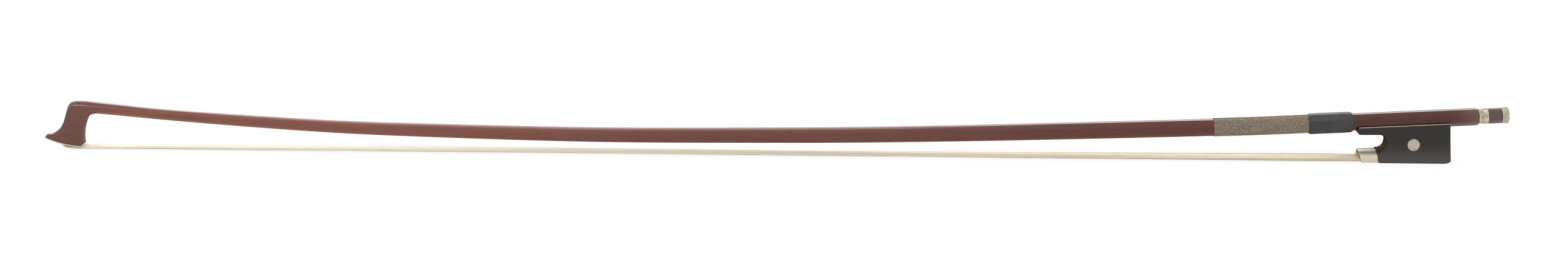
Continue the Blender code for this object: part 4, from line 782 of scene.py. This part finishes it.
# Over the handle, in front of the leather, a sleeve of silk carries a close winding of metal thread: a
# silk core wrapped in flat wire, wound on under tension and lacquered. The wire is dull and glints here
# and there.

lacquered_silk = grained(
    "lacquered silk",
    ground=(0.13, 0.10, 0.07),
    lines=(0.24, 0.19, 0.13),
    width=0.12 * MM,
    run=0.5,
    roughness=0.40,
    gloss=0.4,
    detail=2.0,
)
dress(lacquered_silk, "lapping_core")

THREAD_TOP_SHADE = (0.74, 0.72, 0.70)
THREAD_DARK = (0.21, 0.165, 0.115)
THREAD_PALE = (0.34, 0.285, 0.205)
THREAD_DULLED = (0.24, 0.19, 0.14)
THREAD_GLINT = (0.75, 0.66, 0.50)
GLINT_RARITY = 7.0

metal_thread, tree, shader = new_material("metal thread", Specular_IOR_Level=0.5, **shade_film(THREAD_TOP_SHADE))
place = place_in(tree)
facets = add(tree, "TexVoronoi", Vector=place, Scale=3400.0).outputs
glints = maths(tree, "POWER", part_of(tree, facets["Color"], "X"), GLINT_RARITY)
patches = add(tree, "TexNoise", Vector=place, Scale=260.0, Detail=3.0)
body = tint(tree, facets["Color"], THREAD_DARK, THREAD_PALE)
body = tint(tree, between(tree, patches, 0.42, 0.66, 0.0, 0.5), body, THREAD_DULLED)
feed(tree, shader["Base Color"], tint(tree, glints, body, THREAD_GLINT))
# Painted shade: the winding's upward faces are darkened under a coat.
feed(tree, shader["Coat Weight"], effect(tree, upward_shade, From=0.45, To=0.95)[0])
feed(tree, shader["Metallic"], maths(tree, "MULTIPLY_ADD", glints, 0.5, 0.4, use_clamp=True))
feed(tree, shader["Roughness"], duller(tree, facets["Distance"], by=0.3, than=0.36))
relief(tree, shader, facets["Distance"], depth=0.04 * MM)

ABOVE_BOW = 100 * MM
BELOW_BOW = -10 * MM
SLOPE_REACH = 3 * MM
HALF_FLAT = 22.5

wood = nodes["stick"].data
stick_surface = BVHTree.FromPolygons([v.co for v in wood.vertices], [p.vertices for p in wood.polygons])


def handle_height(x):
    """Height of the stick's middle and its thickness, measured straight up."""
    top = stick_surface.ray_cast(Vector((x, 0, ABOVE_BOW)), Vector((0, 0, -1)))[0].z
    bottom = stick_surface.ray_cast(Vector((x, 0, BELOW_BOW)), Vector((0, 0, 1)))[0].z
    return (top + bottom) / 2, top - bottom


def handle_at(x):
    """The stick's middle, the upright direction square to it, and the width across its flats."""
    height, thickness = handle_height(x)
    rise = handle_height(x + SLOPE_REACH)[0] - handle_height(x - SLOPE_REACH)[0]
    slope = rise / (2 * SLOPE_REACH)
    length = hypot(1.0, slope)
    upright = Vector((-slope / length, 0.0, 1.0 / length))
    return Vector((x, 0.0, height)), upright, thickness / length


def wrapped_radius(degrees, flats, cover):
    """How far from the middle the outside of a cover lies that is stretched over the octagon."""
    off = abs((degrees + HALF_FLAT) % (2 * HALF_FLAT) - HALF_FLAT)
    face = flats / 2 + cover
    if tan(radians(off)) * face <= flats / 2 * tan(radians(HALF_FLAT)):
        return face / cos(radians(off))
    corner = flats / 2 / cos(radians(HALF_FLAT))
    turn = radians(HALF_FLAT - off)
    return corner * cos(turn) + sqrt(max(cover**2 - (corner * sin(turn)) ** 2, 0.0))


def on_handle(section, degrees, cover):
    """A point on the outside of a cover, from what handle_at gives."""
    middle, upright, flats = section
    radius = wrapped_radius(degrees, flats, cover)
    angle = radians(degrees)
    return middle + upright * radius * cos(angle) + Vector((0, radius * sin(angle), 0))


WINDING_FRONT = 224.4 * MM
WINDING_REAR = 272.2 * MM
SLEEVE = 0.20 * MM
THREAD_RADIUS = 0.115 * MM
THREAD_PITCH = 2 * THREAD_RADIUS * 1.03
THREAD_TURNS = int((WINDING_REAR - WINDING_FRONT - 2 * THREAD_RADIUS) / THREAD_PITCH)
THREAD_UNEVEN = (-0.015, 0.03)
THREAD_SIDES = 5
THREAD_STEP = 15

draw = random.Random(11)
turn_lift = [draw.uniform(*THREAD_UNEVEN) * MM for _ in range(THREAD_TURNS + 2)]
rings = []
for degrees in range(0, THREAD_TURNS * 360 + 1, THREAD_STEP):
    x = WINDING_FRONT + THREAD_RADIUS + THREAD_PITCH * degrees / 360
    turn_number, part = divmod(degrees / 360, 1)
    lift = turn_lift[int(turn_number)] * (1 - part) + turn_lift[int(turn_number) + 1] * part
    section = handle_at(x)
    middle = on_handle(section, degrees, SLEEVE + THREAD_RADIUS + lift)
    outward = (middle - section[0]).normalized()
    rings.append(ring_round(middle, outward * THREAD_RADIUS, Vector((THREAD_RADIUS, 0, 0)), THREAD_SIDES))
points = []
faces = []
add_tube(points, faces, rings)
winding = new_piece("thread_winding", points, faces, metal_thread)
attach(winding, "stick")
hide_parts("lapping")


# The thumb leather is a strip of dark hide, pared thin at its edges, wrapped once round the handle and
# glued. Its two ends overlap in a slanting seam at the back, and its rear edge is rolled down.

BLACK_HIDE = (0.018, 0.018, 0.0185)
GREY_HIDE = (0.034, 0.033, 0.033)
HIDE_GRAIN = (0.070, 0.067, 0.065)
PAINTED_REAR_HIGHLIGHT = (0.13, 0.125, 0.12)
REAR_HIGHLIGHT_FROM = (292.6 * MM, 294.2 * MM)

hide, tree, shader = new_material("thumb leather", Specular_IOR_Level=0.5)
place = place_in(tree)
cells = add(tree, "TexVoronoi", Vector=place, Scale=2300.0).outputs["Distance"]
creases = add(tree, "TexNoise", Vector=place, Scale=900.0, Detail=4.0, Roughness=0.6)
patches = add(tree, "TexNoise", Vector=place, Scale=230.0, Detail=2.0)
height = maths(tree, "MULTIPLY_ADD", creases, 0.8, cells)
body = tint(tree, between(tree, patches, 0.35, 0.70), BLACK_HIDE, GREY_HIDE)
body = tint(tree, between(tree, height, 0.75, 1.15, 0.0, 0.35), body, HIDE_GRAIN)
# Painted highlight: pale patches near the rolled rear edge.
rear = between(tree, part_of(tree, place, "X"), *REAR_HIGHLIGHT_FROM)
rear_highlight = maths(tree, "MULTIPLY", rear, between(tree, patches, 0.44, 0.62))
body = tint(tree, maths(tree, "MULTIPLY", rear_highlight, 0.6), body, PAINTED_REAR_HIGHLIGHT)
feed(tree, shader["Base Color"], body)
feed(tree, shader["Roughness"], duller(tree, creases, by=0.25, than=0.42))
relief(tree, shader, height, depth=0.05 * MM)

LEATHER_FRONT = 272.35 * MM
LEATHER_REAR = 294.3 * MM
LEATHER_LENGTH = LEATHER_REAR - LEATHER_FRONT
LEATHER_THICK = 0.80 * MM
LEATHER_INNER = 0.07 * MM
PARED_THICKNESS = 0.70
PARED_LENGTH = 0.7 * MM
ROLL_LENGTH = 2.5 * MM
SEAM_DEGREES = 205
SEAM_SLANT = 22
LAP = 0.16 * MM
LAP_DEGREES = 75
LAP_STEP = 3
RIPPLE = 0.02 * MM
RIPPLES_ROUND = 5
RIPPLE_TWIST = 0.9
RIPPLE_RUN = 1.7
LEATHER_COLUMNS = 120
LEATHER_ROWS = 56
FRONT_SPREAD = 0.12
REAR_CROWDING = 1.35


def leather_cover(x, degrees):
    """Thickness of the leather over the wood, with its pared front edge, lapped seam and rolled rear."""
    pared = soft_step(x, LEATHER_FRONT, LEATHER_FRONT + PARED_LENGTH)
    cover = LEATHER_THICK * (PARED_THICKNESS + (1 - PARED_THICKNESS) * pared)
    seam = SEAM_DEGREES + SEAM_SLANT * (x - LEATHER_FRONT) / LEATHER_LENGTH
    past_seam = (degrees - seam) % 360
    lap = LAP * (1 - soft_step(past_seam, 0, LAP_DEGREES)) * soft_step(past_seam, 0, LAP_STEP)
    ripple = RIPPLE * sin(radians(degrees) * RIPPLES_ROUND + x / MM * RIPPLE_TWIST) * sin(x / MM * RIPPLE_RUN)
    rolled = max((x - LEATHER_REAR + ROLL_LENGTH) / ROLL_LENGTH, 0.0)
    return LEATHER_INNER + (cover + lap + ripple) * sqrt(max(1 - rolled**2, 0.0))


def leather_row(share):
    """Where a row lies along the leather. Rows crowd towards the rolled rear edge."""
    if share < 0.5:
        return share + FRONT_SPREAD * sin(2 * pi * share) / (2 * pi)
    return 1 - (1 - share) ** REAR_CROWDING * 0.5 ** (1 - REAR_CROWDING)


def leather_ring(x, cover_at):
    """A row of points round the handle, under or over the leather."""
    section = handle_at(x)
    turns = [360 * k / LEATHER_COLUMNS for k in range(LEATHER_COLUMNS)]
    return [on_handle(section, degrees, cover_at(x, degrees)) for degrees in turns]


def leather_underside(x, degrees):
    return LEATHER_INNER


rings = []
for i in range(LEATHER_ROWS + 1):
    rings.append(leather_ring(LEATHER_FRONT + LEATHER_LENGTH * leather_row(i / LEATHER_ROWS), leather_cover))
for x in (LEATHER_REAR, LEATHER_FRONT):
    rings.append(leather_ring(x, leather_underside))
points = [point for ring in rings for point in ring]
faces = []
for i in range(len(rings)):
    following = ((i + 1) % len(rings) - i) * LEATHER_COLUMNS
    for k in range(LEATHER_COLUMNS):
        a = i * LEATHER_COLUMNS + k
        b = i * LEATHER_COLUMNS + (k + 1) % LEATHER_COLUMNS
        faces.append((a, b, b + following, a + following))
leather = new_piece("leather_grip", points, faces, hide)
leather.data.set_sharp_from_angle(angle=radians(60))
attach(leather, "stick")
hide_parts("thumb_leather")


# The studio is a white sheet under a white tent, with one broad soft light above and a little behind.
# The sheet shows pure white around the bow and keeps a faint shadow.

WHITE = (1.0, 1.0, 1.0)
TENT_LIGHT = 0.85
SHEET_SIZE = 6.0
SHEET_LEVEL = -0.05 * MM
SHEET_GLOW = 0.88
SHEET_SHADE = 0.12
PAPER = 0.75


def seen_rays(tree):
    """1 for the rays that show the background: to the camera, off gloss or through glass."""
    rays = add(tree, "LightPath").outputs
    seen = maths(tree, "MAXIMUM", rays["Is Camera Ray"], rays["Is Glossy Ray"])
    return maths(tree, "MAXIMUM", seen, rays["Is Transmission Ray"])


world = bpy.data.worlds.new("white tent")
bpy.context.scene.world = world
world.use_nodes = True
tree = world.node_tree
tent = tree.nodes["Background"].inputs
feed(tree, tent["Color"], WHITE)
feed(tree, tent["Strength"], maths(tree, "MULTIPLY_ADD", seen_rays(tree), 1 - TENT_LIGHT, TENT_LIGHT))

sheet_white = bpy.data.materials.new("white sheet")
sheet_white.use_nodes = True
tree = sheet_white.node_tree
tree.nodes.remove(tree.nodes["Principled BSDF"])
paper = add(tree, "BsdfDiffuse", Color=(PAPER, PAPER, PAPER))
shade = add(tree, "BsdfDiffuse", Color=(SHEET_SHADE, SHEET_SHADE, SHEET_SHADE))
glow = add(tree, "Emission", Color=WHITE, Strength=SHEET_GLOW)
mixed = add(tree, "MixShader", seen_rays(tree), paper, add(tree, "AddShader", shade, glow))
feed(tree, tree.nodes["Material Output"].inputs["Surface"], mixed)
half = SHEET_SIZE / 2
corners = [(x * half, y * half, SHEET_LEVEL) for x, y in ((-1, -1), (1, -1), (1, 1), (-1, 1))]
sheet = new_piece("floor", corners, [(0, 1, 2, 3)], sheet_white, smooth=False)

LIGHT_NAME = "soft light above and behind"
LIGHT_STRENGTH = 2.4
LIGHT_SPREAD = radians(76)
LIGHT_SHINES_TOWARD = Vector((0.05, -0.64, -0.77))

light = bpy.data.lights.new(LIGHT_NAME, "SUN")
light.energy = LIGHT_STRENGTH
light.angle = LIGHT_SPREAD
lamp = bpy.data.objects.new(LIGHT_NAME, light)
lamp.rotation_euler = LIGHT_SHINES_TOWARD.to_track_quat("-Z", "Y").to_euler()
bpy.context.collection.objects.link(lamp)

CAMERA_TARGET = Vector((6.902, 0, 12.569)) * MM
CAMERA_DISTANCE = 1400.57 * MM
CAMERA_UP_ANGLE = radians(13.5)
CAMERA_SIDE_ANGLE = radians(1.5)
CAMERA_ROLL = radians(0.209)
CAMERA_FOCAL_PIXELS = 4521
IMAGE_WIDTH = 2576
SENSOR_WIDTH = 36

level_back = Vector((sin(CAMERA_SIDE_ANGLE), -cos(CAMERA_SIDE_ANGLE), 0.0))
back = level_back * cos(CAMERA_UP_ANGLE) + Vector((0.0, 0.0, sin(CAMERA_UP_ANGLE)))
right = Vector((cos(CAMERA_SIDE_ANGLE), sin(CAMERA_SIDE_ANGLE), 0.0))
up = back.cross(right)
rolled_right = right * cos(CAMERA_ROLL) + up * sin(CAMERA_ROLL)
rolled_up = up * cos(CAMERA_ROLL) - right * sin(CAMERA_ROLL)
camera_data = bpy.data.cameras.new("camera")
camera_data.sensor_width = SENSOR_WIDTH
camera_data.lens = CAMERA_FOCAL_PIXELS * SENSOR_WIDTH / IMAGE_WIDTH
camera_data.clip_start = 10 * MM
camera = bpy.data.objects.new("camera", camera_data)
camera.rotation_euler = Matrix((rolled_right, rolled_up, back)).transposed().to_euler()
camera.location = CAMERA_TARGET + back * CAMERA_DISTANCE
bpy.context.collection.objects.link(camera)
bpy.context.scene.camera = camera
